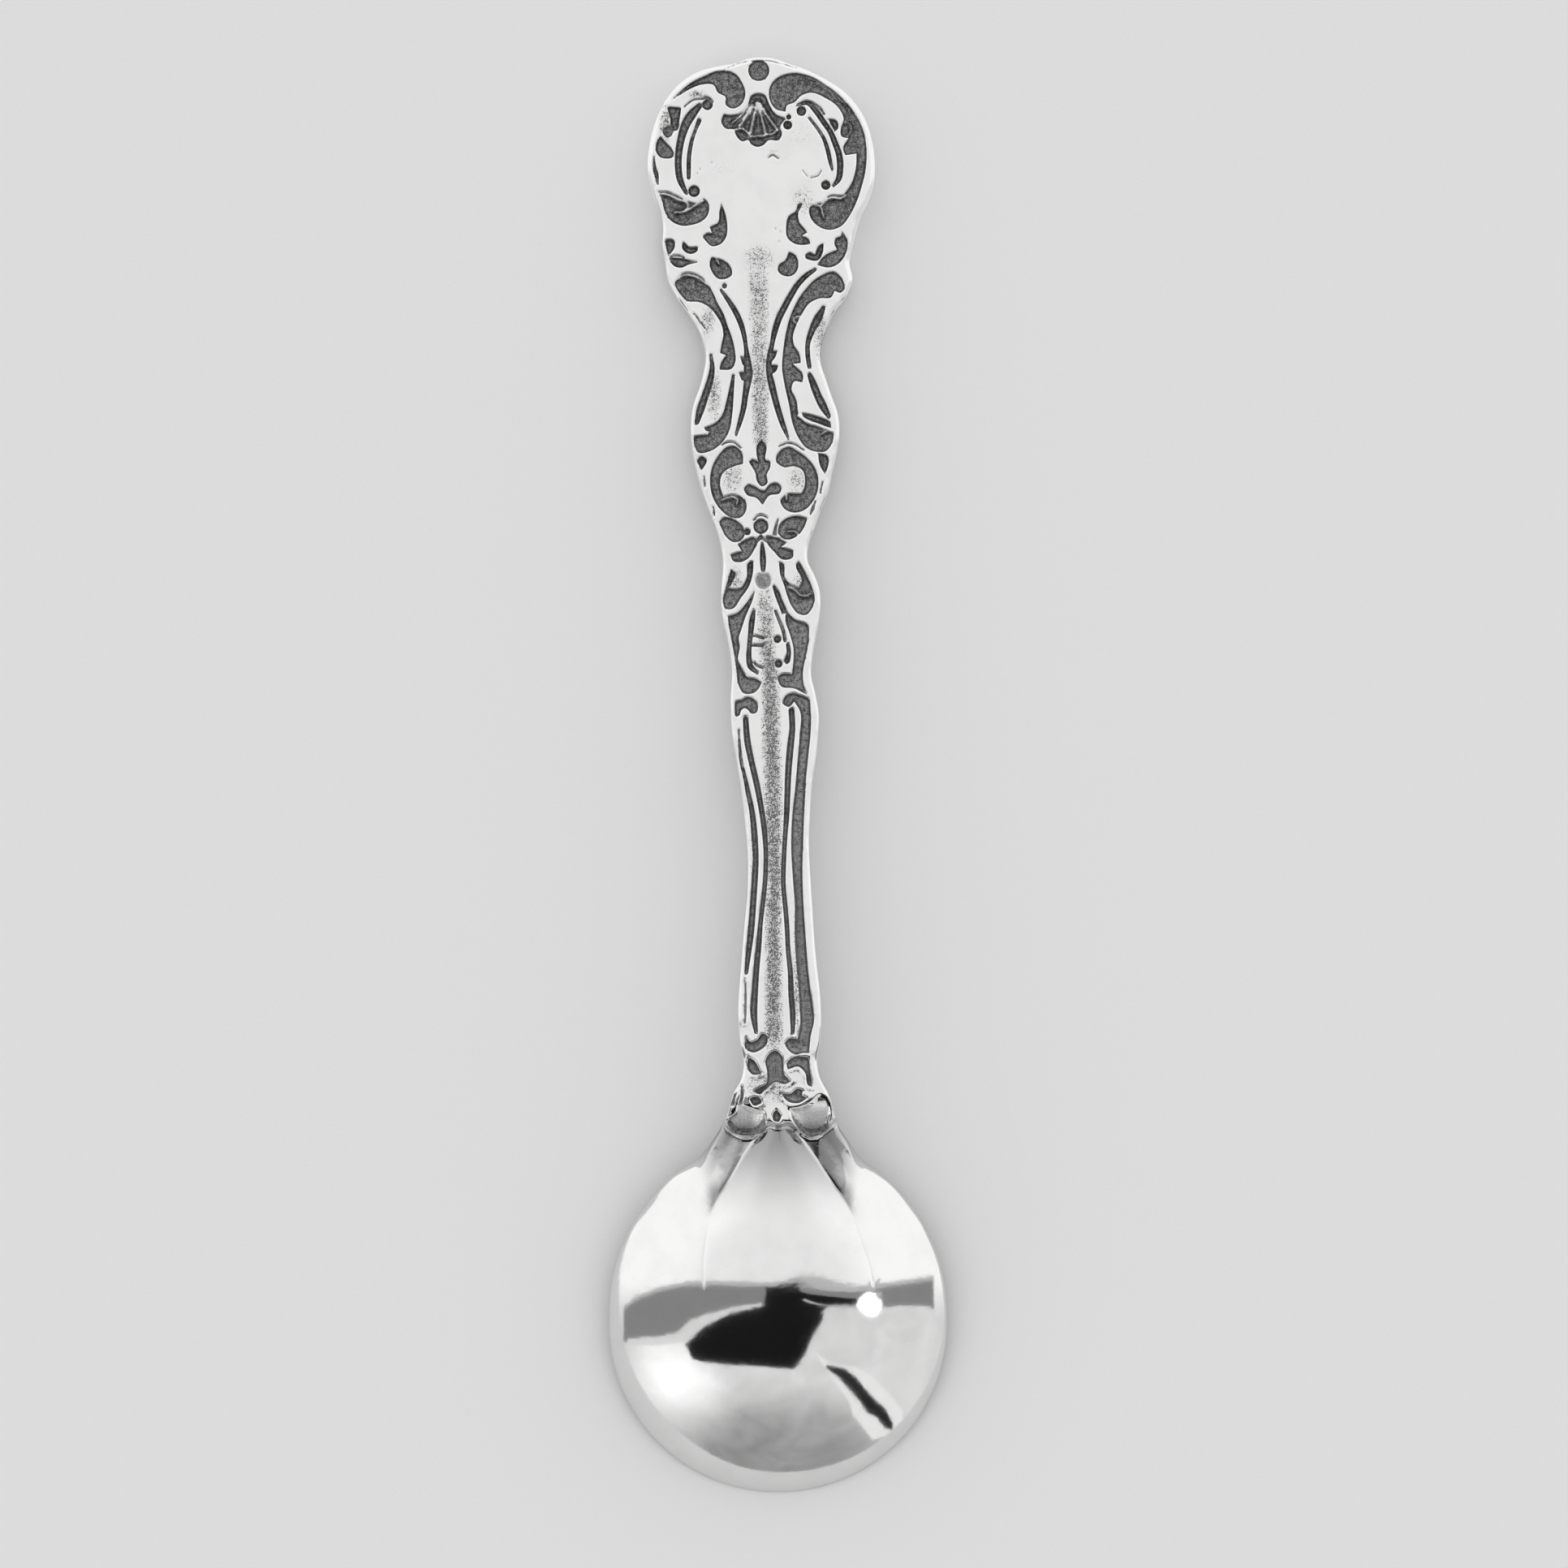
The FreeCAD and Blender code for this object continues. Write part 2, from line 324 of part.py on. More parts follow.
class Layout:
    """Where things lie: fits the drawn pattern to the driving sizes."""

    def __init__(self, sizes):
        self.sizes = sizes
        self.bowl_radius = sizes["bowl_diameter"] / 2
        self.tilt = math.radians(sizes["bowl_tilt"])
        self.middle = (sizes["tip_reach"] - self.bowl_radius) / 2
        drawn_run = DRAWN["tip_reach"] - DRAWN["lip_reach"]
        self.stretch = (sizes["tip_reach"] - sizes["lip_reach"]) / drawn_run
        self.widening = [(at, sizes[key] / drawn) for at, key, drawn in DRAWN_WIDTHS]

    def reach(self, drawn_reach):
        """Distance from the middle of the bowl for a place in the drawn pattern."""
        return self.sizes["lip_reach"] + (drawn_reach - DRAWN["lip_reach"]) * self.stretch

    def place(self, x, drawn_reach):
        """Point of the table plane for a point (x, reach) of the drawn pattern."""
        axis = blend(HANDLE_AXIS, drawn_reach)
        wide = blend(self.widening, drawn_reach)
        return V(axis + (x - axis) * wide, self.reach(drawn_reach) - self.middle, 0)

    def rim_height(self, reach):
        """Height of the rim plane over the table."""
        return (reach + self.bowl_radius) * math.tan(self.tilt)

    def bowed(self, first, last, bow, share):
        """Point of the side view at a share of the way between two (reach, height) ends."""
        (x1, z1), (x2, z2) = [(at - self.middle, up) for at, up in (first, last)]
        lift = 4 * bow * share * (1 - share)
        return V(x1 + (x2 - x1) * share, z1 + (z2 - z1) * share + lift, 0)

    def back_points(self, depth=0):
        """Back of the handle seen from the side, or a line at a depth under it.

        The back is struck in flat stretches that follow a gentle bow.
        """
        z = self.sizes
        overrun = 1.0
        slope = (z["tip_thickness"] - z["neck_top"]) / (z["tip_reach"] - z["lip_reach"])
        first = (z["lip_reach"] - overrun, z["neck_top"] - slope * overrun - depth)
        last = (z["tip_reach"] + overrun, z["tip_thickness"] + slope * overrun - depth)
        return [self.bowed(first, last, z["back_bow"], i / BACK_STRETCHES)
                for i in range(BACK_STRETCHES + 1)]

    def front_arc(self):
        """Front of the handle, towards the table, down to the flat it rests on."""
        z = self.sizes
        first = (z["lip_reach"] - 1, z["neck_underside"])
        last = (z["tip_reach"] - z["rest_length"], 0)
        return Part.Arc(*[self.bowed(first, last, z["front_bow"], i / 2) for i in range(3)])


def make_sheet(doc):
    """The spreadsheet that holds every driving size under its own name."""
    sheet = doc.addObject("Spreadsheet::Sheet", "sizes")
    for row, (name, value) in enumerate(SIZES.items(), start=1):
        sheet.set(f"A{row}", name)
        sheet.set(f"B{row}", str(value))
        sheet.setAlias(f"B{row}", name)
    doc.recompute()
    return sheet


def body_sketch(body, name, plane):
    """A sketch on one of the body's own origin planes."""
    sketch = body.newObject("Sketcher::SketchObject", name)
    origin_plane = next(f for f in body.Origin.OriginFeatures if f.Role == plane)
    sketch.AttachmentSupport = [(origin_plane, "")]
    sketch.MapMode = "FlatFace"
    return sketch


def name_constraint(sketch, constraint, name, formula):
    """Adds a driving constraint and binds it to the sheet."""
    index = sketch.addConstraint(constraint)
    sketch.renameConstraint(index, name)
    sketch.setExpression(f"Constraints.{name}", formula)


def dome_body(doc, name, radius, height, skirt, layout):
    """Round cap turned about the bowl's axis; radius, height and skirt are formulas."""
    body = doc.addObject("PartDesign::Body", name)
    sketch = body_sketch(body, name + "_section", "XZ_Plane")
    r, h, low = (doc.sizes.evalExpression(f) for f in (radius, height, skirt))
    r, h, low = (getattr(q, "Value", q) for q in (r, h, low))
    big = (r * r + h * h) / (2 * h)
    circle = Part.Circle(V(0, h - big, 0), V(0, 0, 1), big)
    arc = Part.ArcOfCircle(circle, math.asin((big - h) / big), math.pi / 2)
    sketch.addGeometry(arc, False)
    sketch.addGeometry(Part.LineSegment(V(0, h, 0), V(0, -low, 0)), False)
    sketch.addGeometry(Part.LineSegment(V(0, -low, 0), V(r, -low, 0)), False)
    sketch.addGeometry(Part.LineSegment(V(r, -low, 0), V(r, 0, 0)), False)
    add = sketch.addConstraint
    add(Sketcher.Constraint("Coincident", 0, 2, 1, 1))
    add(Sketcher.Constraint("Coincident", 1, 2, 2, 1))
    add(Sketcher.Constraint("Coincident", 2, 2, 3, 1))
    add(Sketcher.Constraint("Coincident", 3, 2, 0, 1))
    add(Sketcher.Constraint("PointOnObject", 0, 3, -2))
    add(Sketcher.Constraint("PointOnObject", 1, 1, -2))
    add(Sketcher.Constraint("PointOnObject", 1, 2, -2))
    add(Sketcher.Constraint("Horizontal", 2))
    add(Sketcher.Constraint("Vertical", 3))
    add(Sketcher.Constraint("PointOnObject", 3, 2, -1))
    name_constraint(sketch, Sketcher.Constraint("DistanceX", 2, 1, 2, 2, r), "radius", radius)
    name_constraint(sketch, Sketcher.Constraint("DistanceY", -1, 1, 0, 2, h), "height", height)
    name_constraint(sketch, Sketcher.Constraint("DistanceY", 3, 1, 3, 2, low), "skirt", skirt)
    turn = body.newObject("PartDesign::Revolution", name + "_turn")
    turn.Profile = sketch
    turn.ReferenceAxis = (sketch, ["V_Axis"])
    turn.Angle = 360
    lean = FreeCAD.Rotation(V(1, 0, 0), doc.sizes.bowl_tilt)
    lift = layout.bowl_radius * math.sin(layout.tilt)
    land = doc.sizes.rim_land if name == "bowl_outside" else 0
    body.Placement = FreeCAD.Placement(
        V(0, -layout.middle, lift) + lean.multVec(V(0, 0, land)), lean)
    return body


def curve(points):
    """Smooth curve through the points."""
    spline = Part.BSplineCurve()
    spline.interpolate(points)
    return spline


def straight_lines(points):
    """Straight lines from each point to the next."""
    return [Part.LineSegment(a, b) for a, b in zip(points, points[1:])]


def in_stretches(spline, count):
    """The same smooth curve as shorter ones end to end, which cut faster."""
    first, last = spline.FirstParameter, spline.LastParameter
    marks = [first + (last - first) * i / count for i in range(count + 1)]
    stretches = []
    for a, b in zip(marks, marks[1:]):
        stretch = spline.copy()
        stretch.segment(a, b)
        stretches.append(stretch)
    return stretches


def side_body(doc, name, lines, width):
    """Bar whose side view is closed by the given lines, even over its width."""
    body = doc.addObject("PartDesign::Body", name)
    sketch = body_sketch(body, name + "_section", "YZ_Plane")
    for line in lines:
        sketch.addGeometry(line, False)
    pad = body.newObject("PartDesign::Pad", name + "_pad")
    pad.Profile = sketch
    pad.SideType = "Symmetric"
    pad.Length = 2 * width
    return body


def plan_body(doc, name, lines, height):
    """Block whose plan view is closed by the given lines, from 1 mm under the table."""
    body = doc.addObject("PartDesign::Body", name)
    sketch = body_sketch(body, name + "_outline", "XY_Plane")
    for line in lines:
        sketch.addGeometry(line, False)
    pad = body.newObject("PartDesign::Pad", name + "_pad")
    pad.Profile = sketch
    pad.Length = height + 1
    body.Placement = FreeCAD.Placement(V(0, 0, -1), FreeCAD.Rotation())
    return body


def make_handle_blank(doc, layout):
    """Uncarved handle: the side view trimmed by the smooth plan view."""
    back, front = layout.back_points(), layout.front_arc()
    rest_end = V(back[-1].x, 0, 0)
    lines = straight_lines([front.StartPoint] + back + [rest_end, front.EndPoint])
    lines.append(front)
    side = side_body(doc, "handle_side", lines, layout.bowl_radius)
    edge = [layout.place(*p) for p in LEFT_EDGE + TIP_CROWN + RIGHT_EDGE]
    lip = [edge[-1]] + [layout.place(*p) for p in LIP_EDGE] + [edge[0]]
    lines = in_stretches(curve(edge), 24) + [curve(lip)]
    plan = plan_body(doc, "handle_plan", lines, 8)
    blank = doc.addObject("Part::MultiCommon", "handle_blank")
    blank.Shapes = [side, plan]
    return blank


# Shoulder between the plain bowl and the lip, as (reach, half width, height of the
# keel as a share of neck_top, edge height over the rim plane as a share of web_thickness).
SHOULDER = [
    (2.0, 7.58, 1.03, 0.3), (3.4, 7.28, 1.0, 0.42), (4.7, 6.62, 0.96, 0.7),
    (6.1, 5.5, 0.945, 1.0), (7.6, 3.72, 0.955, 1.25), (9.0, 2.5, 0.965, 1.8),
    (10.4, 1.95, 0.95, 2.4),
]


def shoulder_section(doc, layout, number, reach, half, keel, edge):
    """Bell-shaped section of the shoulder, across the spoon at one reach."""
    sizes = layout.sizes
    foot = layout.rim_height(reach)
    side = foot + edge * sizes["web_thickness"]
    crest = keel * sizes["neck_top"]
    rise = crest - side
    keel_half = sizes["keel_width"] / 2
    bell = [(-half, side), (-0.64 * half, side + 0.16 * rise),
            (-0.5 * (keel_half + 0.3 * half), side + 0.76 * rise), (0, crest)]
    bell += [(-x, up) for x, up in reversed(bell[:-1])]
    sketch = doc.addObject("Sketcher::SketchObject", f"shoulder_section_{number}")
    sketch.Placement = FreeCAD.Placement(
        V(0, layout.reach(reach) - layout.middle, 0), FreeCAD.Rotation(V(1, 0, 0), 90))
    sketch.addGeometry(curve([V(x, up, 0) for x, up in bell]), False)
    corners = [V(half, side, 0), V(half, foot, 0), V(-half, foot, 0), V(-half, side, 0)]
    for line in straight_lines(corners):
        sketch.addGeometry(line, False)
    return sketch


def make_shoulder(doc, layout):
    """Keel and flared web that carry the handle into the bowl."""
    loft = doc.addObject("Part::Loft", "shoulder")
    loft.Sections = [shoulder_section(doc, layout, n, *row)
                     for n, row in enumerate(SHOULDER, start=1)]
    loft.Solid = True
    loft.Ruled = False
    return loft


def groove_outline(spine):
    """Corners of a tapered stroke from its (x, reach, half width) points."""
    left, right = [], []
    for i, (x, at, half) in enumerate(spine):
        before, after = spine[max(i - 1, 0)], spine[min(i + 1, len(spine) - 1)]
        run = math.hypot(after[0] - before[0], after[1] - before[1])
        nx, ny = -(after[1] - before[1]) / run, (after[0] - before[0]) / run
        left.append((x + nx * half, at + ny * half))
        right.append((x - nx * half, at - ny * half))
    return left + right[::-1]


def add_motif(sketch, layout, kind, shape):
    """Draws one motif of the carving in a sketch."""
    if kind == "circle":
        x, at, radius = shape
        sketch.addGeometry(Part.Circle(layout.place(x, at), V(0, 0, 1), radius), False)
        return
    corners = shape if kind == "outline" else groove_outline(shape)
    points = [layout.place(*p) for p in corners]
    for line in straight_lines(points + points[:1]):
        sketch.addGeometry(line, False)


def make_carving(doc, layout):
    """Everything that is sunk into the back: motif prisms down to one depth."""
    floor = layout.back_points(layout.sizes["carving_depth"])
    above = 7.0
    corners = [V(floor[-1].x, above, 0), V(floor[0].x, above, 0), floor[0]]
    lines = straight_lines(floor + corners)
    band = side_body(doc, "carving_band", lines, layout.bowl_radius)
    sunk = []
    for region, motifs in CARVING.items():
        sketch = doc.addObject("Sketcher::SketchObject", region + "_pattern")
        for kind, shape in motifs:
            add_motif(sketch, layout, kind, shape)
        prism = doc.addObject("Part::Extrusion", region + "_prisms")
        prism.Base = sketch
        prism.DirMode = "Custom"
        prism.Dir = V(0, 0, 1)
        prism.LengthFwd = above + 1
        prism.Solid = True
        part = doc.addObject("Part::MultiCommon", region + "_carving")
        part.Shapes = [prism, band]
        sunk.append(part)
    doc.recompute()
    return sunk


def check(doc):
    """Stops when a feature failed or a shape is broken."""
    for item in doc.Objects:
        if "Invalid" in item.State or "Error" in item.State:
            raise RuntimeError(f"{item.Label} failed: {item.State}")
        shape = getattr(item, "Shape", None)
        if shape is not None and not item.isDerivedFrom("App::Origin"):
            if shape.isNull() and item.TypeId.startswith(("Part::", "PartDesign::B")):
                raise RuntimeError(f"{item.Label} has no shape")


def build():
    """Builds the spoon and writes its STEP file."""
    doc = FreeCAD.newDocument("salt_spoon")
    make_sheet(doc)
    layout = Layout({name: doc.sizes.get(name) for name in SIZES})
    outside = dome_body(doc, "bowl_outside", "sizes.bowl_diameter / 2",
                        "sizes.bowl_depth - sizes.rim_land", "sizes.rim_land", layout)
    hollow = dome_body(doc, "bowl_hollow", "sizes.bowl_diameter / 2 - sizes.rim_width",
                       "sizes.bowl_depth - sizes.bowl_wall", "sizes.bowl_wall * 2", layout)
    carving = doc.addObject("Part::MultiFuse", "carving")
    carving.Shapes = make_carving(doc, layout)
    handle = doc.addObject("Part::Cut", "handle")
    handle.Base = make_handle_blank(doc, layout)
    handle.Tool = carving
    solid = doc.addObject("Part::MultiFuse", "spoon_solid")
    solid.Shapes = [outside, make_shoulder(doc, layout), handle]
    spoon = doc.addObject("Part::Cut", "salt_spoon")
    spoon.Label = "salt_spoon"
    spoon.Base = solid
    spoon.Tool = hollow
    doc.recompute()
    check(doc)
    if not spoon.Shape.isValid() or len(spoon.Shape.Solids) != 1:
        raise RuntimeError("the spoon is not one sound solid")
    os.makedirs("parts", exist_ok=True)
    spoon.Shape.exportStep(f"parts/{spoon.Label}.step")
    box = spoon.Shape.BoundBox
    print(f"salt_spoon {box.XLength:.2f} x {box.YLength:.2f} x {box.ZLength:.2f} mm")


build()
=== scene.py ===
# %% [markdown]
# # A salt spoon in one piece of silver
#
# The spoon lies face down: its round bowl shows its polished back, and the carved back
# of the handle looks up at the camera.  The real one is cast or struck in one piece,
# so it is one closed skin here too, from the bowl's rim to the tip of the handle.
# Every length is given in millimetres and turned into Blender's metres at the end.

# %% Open the frame
import math
import bpy
import numpy as np
from mathutils.geometry import delaunay_2d_cdt
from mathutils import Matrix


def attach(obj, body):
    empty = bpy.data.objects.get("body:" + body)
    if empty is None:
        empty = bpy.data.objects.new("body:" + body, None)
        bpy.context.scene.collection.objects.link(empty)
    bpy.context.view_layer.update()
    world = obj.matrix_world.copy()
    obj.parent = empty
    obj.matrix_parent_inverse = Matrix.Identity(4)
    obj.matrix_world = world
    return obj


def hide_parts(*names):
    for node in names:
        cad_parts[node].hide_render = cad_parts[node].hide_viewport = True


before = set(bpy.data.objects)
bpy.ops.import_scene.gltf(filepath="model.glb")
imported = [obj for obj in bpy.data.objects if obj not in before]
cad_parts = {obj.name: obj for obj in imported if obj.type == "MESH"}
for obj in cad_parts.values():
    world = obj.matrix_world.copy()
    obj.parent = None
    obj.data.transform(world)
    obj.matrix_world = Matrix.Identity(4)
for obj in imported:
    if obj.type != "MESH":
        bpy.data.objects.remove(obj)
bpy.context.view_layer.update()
MM = 0.001

# %% [markdown]
# ## Sizes
#
# "Reach" is the distance from the middle of the bowl towards the handle tip.  The frame
# has its origin in the middle of the spoon, so a reach becomes a Y by taking MIDDLE off.
# The bowl's rim lies in a plane that rises a little towards the neck, because the spoon
# rests on the far side of that rim and on the tip of the handle.

# %% Sizes of the spoon
BOWL_RADIUS = 7.8
TIP_REACH = 58.25
MIDDLE = (TIP_REACH - BOWL_RADIUS) / 2
TILT = math.radians(5.5)
RIM_LAND = 0.2
CAP_RADIUS = 10.037
CAP_SINK = 6.127
MOUTH_RADIUS = 7.25
HOLLOW_RADIUS = 9.983
HOLLOW_SINK = 6.863
CARVING_DEPTH = 0.32
WALL_RUN = 0.12
CUT_SPREAD = 0.03
print(f"rim rises to {(2 * BOWL_RADIUS) * math.tan(TILT):.2f} mm at the neck")


# %% [markdown]
# ## Smooth lines through a few points
#
# The edge of the handle and every sunk motif were drawn as a few points.  A
# maker's burin leaves flowing lines, so the points are joined by Hermite curves whose
# tangents follow the neighbours.  At a sharp turn the tangent is broken, which keeps the
# barbs of the leaves pointed.

# %% Lines through points
def tangents(points, closed):
    """Direction of the line at each point, from the points on either side."""
    before = np.roll(points, 1, axis=0)
    after = np.roll(points, -1, axis=0)
    if not closed:
        before[0] = 2 * points[0] - points[1]
        after[-1] = 2 * points[-1] - points[-2]
    back, ahead = points - before, after - points
    run_back = np.linalg.norm(back[:, :2], axis=1, keepdims=True)
    run_ahead = np.linalg.norm(ahead[:, :2], axis=1, keepdims=True)
    both = back / run_back * run_ahead + ahead / run_ahead * run_back
    turn = np.sum(back[:, :2] * ahead[:, :2], axis=1, keepdims=True)
    bent = turn / (run_back * run_ahead) < 0.2
    leave = np.where(bent, ahead / run_ahead, both / (run_back + run_ahead))
    arrive = np.where(bent, back / run_back, both / (run_back + run_ahead))
    return leave, arrive


def flowing(points, closed=True, step=0.09):
    """The points joined by smooth curves, with a point about every step."""
    points = np.array(points, float)
    leave, arrive = tangents(points, closed)
    line = []
    for i in range(len(points) if closed else len(points) - 1):
        j = (i + 1) % len(points)
        a, b = points[i], points[j]
        run = np.linalg.norm((b - a)[:2])
        t = np.linspace(0, 1, max(2, math.ceil(run / step)) + 1)[:-1, None]
        line.append((2 * t**3 - 3 * t**2 + 1) * a + (t**3 - 2 * t**2 + t) * run * leave[i]
                    + (3 * t**2 - 2 * t**3) * b + (t**3 - t**2) * run * arrive[j])
    if not closed:
        line.append(points[-1:])
    return np.concatenate(line)


def blend(knots, at):
    """Values at places along a line of (place, value) knots."""
    places, values = zip(*knots)
    return np.interp(at, places, values)


def ease(low, high, value):
    """0 below low, 1 above high and a soft step between them."""
    t = np.clip((value - low) / (high - low), 0, 1)
    return t * t * (3 - 2 * t)


print("a square through 4 points becomes", len(flowing([(0, 0), (1, 0), (1, 1), (0, 1)])))

# %% [markdown]
# ## Outline of the whole spoon
#
# Seen from above, the handle swells and narrows with the scrolls of its pattern, and no
# two sides are quite alike, which is how a worn die or a mould leaves them.  The bowl is
# a circle on its far side and spreads slightly into two shoulders towards the neck.

# %% Outline points, as (x, reach)
LEFT_EDGE = [
    (-2.29, 9.9), (-2.08, 10.65), (-1.70, 11.4), (-1.62, 12.1),
    (-1.77, 12.9), (-1.87, 14.0), (-1.85, 15.1), (-1.74, 16.6), (-1.62, 18.1),
    (-1.47, 19.7), (-1.44, 21.5), (-1.59, 23.3), (-1.88, 25.5), (-2.15, 27.1),
    (-2.22, 28.6), (-2.16, 30.0), (-2.37, 31.5), (-2.60, 32.5), (-2.66, 33.5),
    (-2.57, 35.0), (-2.80, 36.3), (-3.26, 37.5), (-3.75, 39.0), (-4.04, 40.6),
    (-4.00, 42.0), (-3.55, 43.4), (-3.38, 44.4), (-3.58, 45.4), (-4.15, 46.4),
    (-4.72, 47.2), (-5.12, 48.0), (-5.24, 48.8), (-5.38, 49.6), (-5.34, 50.3),
    (-5.45, 51.1), (-5.76, 52.0), (-5.98, 53.1), (-5.88, 54.3), (-5.62, 55.3),
    (-5.20, 56.2), (-4.55, 57.0), (-3.55, 57.62), (-2.60, 57.85), (-1.90, 57.98),
]
TIP_ARCH = [(-1.35, 58.17), (-0.76, 58.24), (-0.15, 58.17)]
RIGHT_EDGE = [
    (0.45, 57.96), (1.20, 57.70), (2.10, 57.27), (2.95, 56.73), (3.55, 56.12),
    (4.02, 55.35), (4.30, 54.5), (4.45, 53.4), (4.40, 52.4), (4.15, 51.6),
    (3.80, 50.9), (3.60, 50.2), (3.42, 49.5), (3.28, 48.8), (3.42, 48.0),
    (3.18, 47.2), (2.65, 46.5), (2.25, 45.7), (2.01, 44.9), (2.02, 44.1),
    (2.25, 43.4), (2.52, 42.6), (2.78, 41.9), (2.87, 40.9), (2.76, 40.1),
    (2.56, 39.2), (2.34, 38.2), (2.02, 37.4), (1.70, 36.5), (1.44, 35.8),
    (1.40, 35.1), (1.72, 34.4), (1.94, 33.8), (2.00, 33.0), (1.92, 32.3),
    (1.77, 31.5), (1.60, 30.5), (1.57, 29.8), (1.75, 29.0), (1.92, 28.0),
    (1.88, 27.0), (1.78, 26.0), (1.62, 24.9), (1.51, 23.3), (1.47, 22.2),
    (1.53, 20.8), (1.62, 19.3), (1.70, 18.0), (1.81, 16.7), (1.98, 15.2),
    (2.03, 14.0), (1.95, 12.9), (1.83, 12.1), (1.96, 11.4), (2.35, 10.65),
    (2.59, 9.9),
]
# Half widths of the neck's left side and right side, then of both sides of the bowl.
NECK_SIDES = [(9.14, 2.59, 2.78), (8.40, 3.04, 3.26), (7.65, 3.66, 3.76), (6.9, 4.8, 4.72)]
BOWL_SIDES = [(6.16, 5.54), (5.41, 6.14), (4.66, 6.66), (3.92, 7.03), (3.17, 7.35),
              (2.4, 7.57), (1.68, 7.70), (0.8, 7.78)]


def whole_outline():
    """Outline of the spoon, anticlockwise from the neck's left side round the bowl."""
    left = [(-a, at) for at, a, b in NECK_SIDES] + [(-a, at) for at, a in BOWL_SIDES]
    right = [(b, at) for at, a, b in NECK_SIDES] + [(a, at) for at, a in BOWL_SIDES]
    turns = [math.radians(180 + 7.5 * i) for i in range(25)]
    arc = [(BOWL_RADIUS * math.cos(t), BOWL_RADIUS * math.sin(t)) for t in turns]
    handle = LEFT_EDGE + TIP_ARCH + RIGHT_EDGE
    return left + arc + right[::-1] + handle[::-1]


outline = flowing(whole_outline(), step=0.11)
outline[:, 0] = np.clip(outline[:, 0], -BOWL_RADIUS, BOWL_RADIUS)
outline[:, 1] = np.clip(outline[:, 1], 0.017 - BOWL_RADIUS, TIP_REACH)
fine_outline = np.concatenate([outline + (np.roll(outline, -1, axis=0) - outline) * share
                               for share in (0, 0.2, 0.4, 0.6, 0.8)])
print(f"outline of {len(outline)} points, {np.ptp(outline[:, 0]):.2f} mm wide")

# %% [markdown]
# ## The back before carving
#
# The back of the handle is one long gentle bow that falls from the neck to the tip, and
# it is slightly crowned across.  Towards the table the front is plain.  A height for each
# place (x, reach) is all that is needed, since nothing on a struck spoon is undercut.

# %% Heights of the handle
HANDLE_AXIS = [(8.0, 0.08), (28.0, -0.05), (34.0, -0.30), (41.0, -0.62), (58.25, -0.76)]
HALF_WIDTH = [(9.0, 2.4), (12.0, 1.8), (21.5, 1.5), (27.5, 2.0), (33.0, 2.3), (36.0, 2.2),
              (41.0, 3.4), (44.5, 2.7), (48.0, 4.2), (53.0, 5.2), (58.25, 5.2)]
CROWN = [(9.0, 0.22), (13.0, 0.16), (28.0, 0.14), (36.0, 0.16), (46.0, 0.16), (58.25, 0.20)]


def bowed(at, first, last, bow):
    """Height on a line between two (reach, height) ends that bulges up by bow."""
    share = (at - first[0]) / (last[0] - first[0])
    return first[1] + (last[1] - first[1]) * share + 4 * bow * share * (1 - share)


def rim_height(at):
    """Height of the rim's plane over the table."""
    return (at + BOWL_RADIUS) * math.tan(TILT)


def handle_back(x, at):
    """Uncarved back of the handle."""
    across = (x - blend(HANDLE_AXIS, at)) / blend(HALF_WIDTH, at)
    return bowed(at, (7.6, 4.178), (59.25, 1.192), 0.33) - blend(CROWN, at) * across**2


def front(x, at):
    """Plain front of the handle, which passes into the plane of the bowl's rim."""
    handle = np.where(at < 56, bowed(at, (7.6, 1.62), (56.0, 0.0), 0.30), 0)
    return rim_height(at) + (handle - rim_height(at)) * ease(7.2, 10.0, at)


print("thickness at the neck and tip:",
      [round(float(handle_back(0.1, np.array(s)) - front(0.1, np.array(s))), 2) for s in (10, 57)])

# %% [markdown]
# ## Bowl and shoulders
#
# The bowl is a shallow cap.  The handle runs into it as a tongue: a broad arched keel
# that starts narrow under the lip and opens out until it is lost in the dome.  Beside
# the tongue the metal drops in two flutes to a thin web that spreads to the rim.  Each
# is a simple height, and a soft maximum joins them as a file and a buff would.

# %% Heights of the bowl's back
TONGUE_MIDDLE = [(-1.0, 0.55), (1.75, 0.5), (2.8, 0.38), (4.05, 0.23), (5.5, 0.13),
                 (6.8, 0.08), (8.84, 0.0), (11.0, 0.0)]
TONGUE_HALF = [(-1.0, 3.9), (1.75, 3.88), (2.8, 3.79), (4.05, 3.5), (5.5, 3.06), (6.5, 2.38),
               (7.9, 1.5), (8.4, 1.15), (8.84, 0.85), (11.0, 0.6)]
TONGUE_CREST = [(-4.0, 2.0), (-1.0, 4.35), (1.0, 4.69), (2.0, 4.60), (3.4, 4.42), (4.7, 4.235),
                (6.1, 4.03), (7.4, 3.84), (8.2, 3.775), (9.0, 3.745), (11.0, 3.7)]
VALLEY = [(4.0, 3.5), (5.5, 3.16), (6.5, 3.00), (7.5, 2.95), (8.5, 2.95), (9.2, 3.0),
          (11.0, 3.5)]
FLUTE = [(4.0, 3.30), (5.4, 3.15), (6.0, 3.105), (7.0, 3.075), (8.0, 3.065), (9.0, 3.06),
         (11.0, 3.06)]
WEB_EDGE = [(4.0, 0.2), (6.0, 0.28), (7.0, 0.45), (7.65, 0.65), (8.4, 0.95), (9.14, 1.4),
            (9.9, 1.9), (11.0, 2.1)]
WEB_HALF = [(4.0, 7.0), (4.66, 6.66), (5.41, 6.14), (6.16, 5.54), (6.9, 4.76), (7.65, 3.71),
            (8.4, 3.15), (9.14, 2.69), (9.9, 2.44), (11.0, 2.2)]


def sweep(knots, at):
    """Like blend, but along a smooth curve through the knots."""
    line = flowing(knots, closed=False, step=0.05)
    return np.interp(at, line[:, 0], line[:, 1])


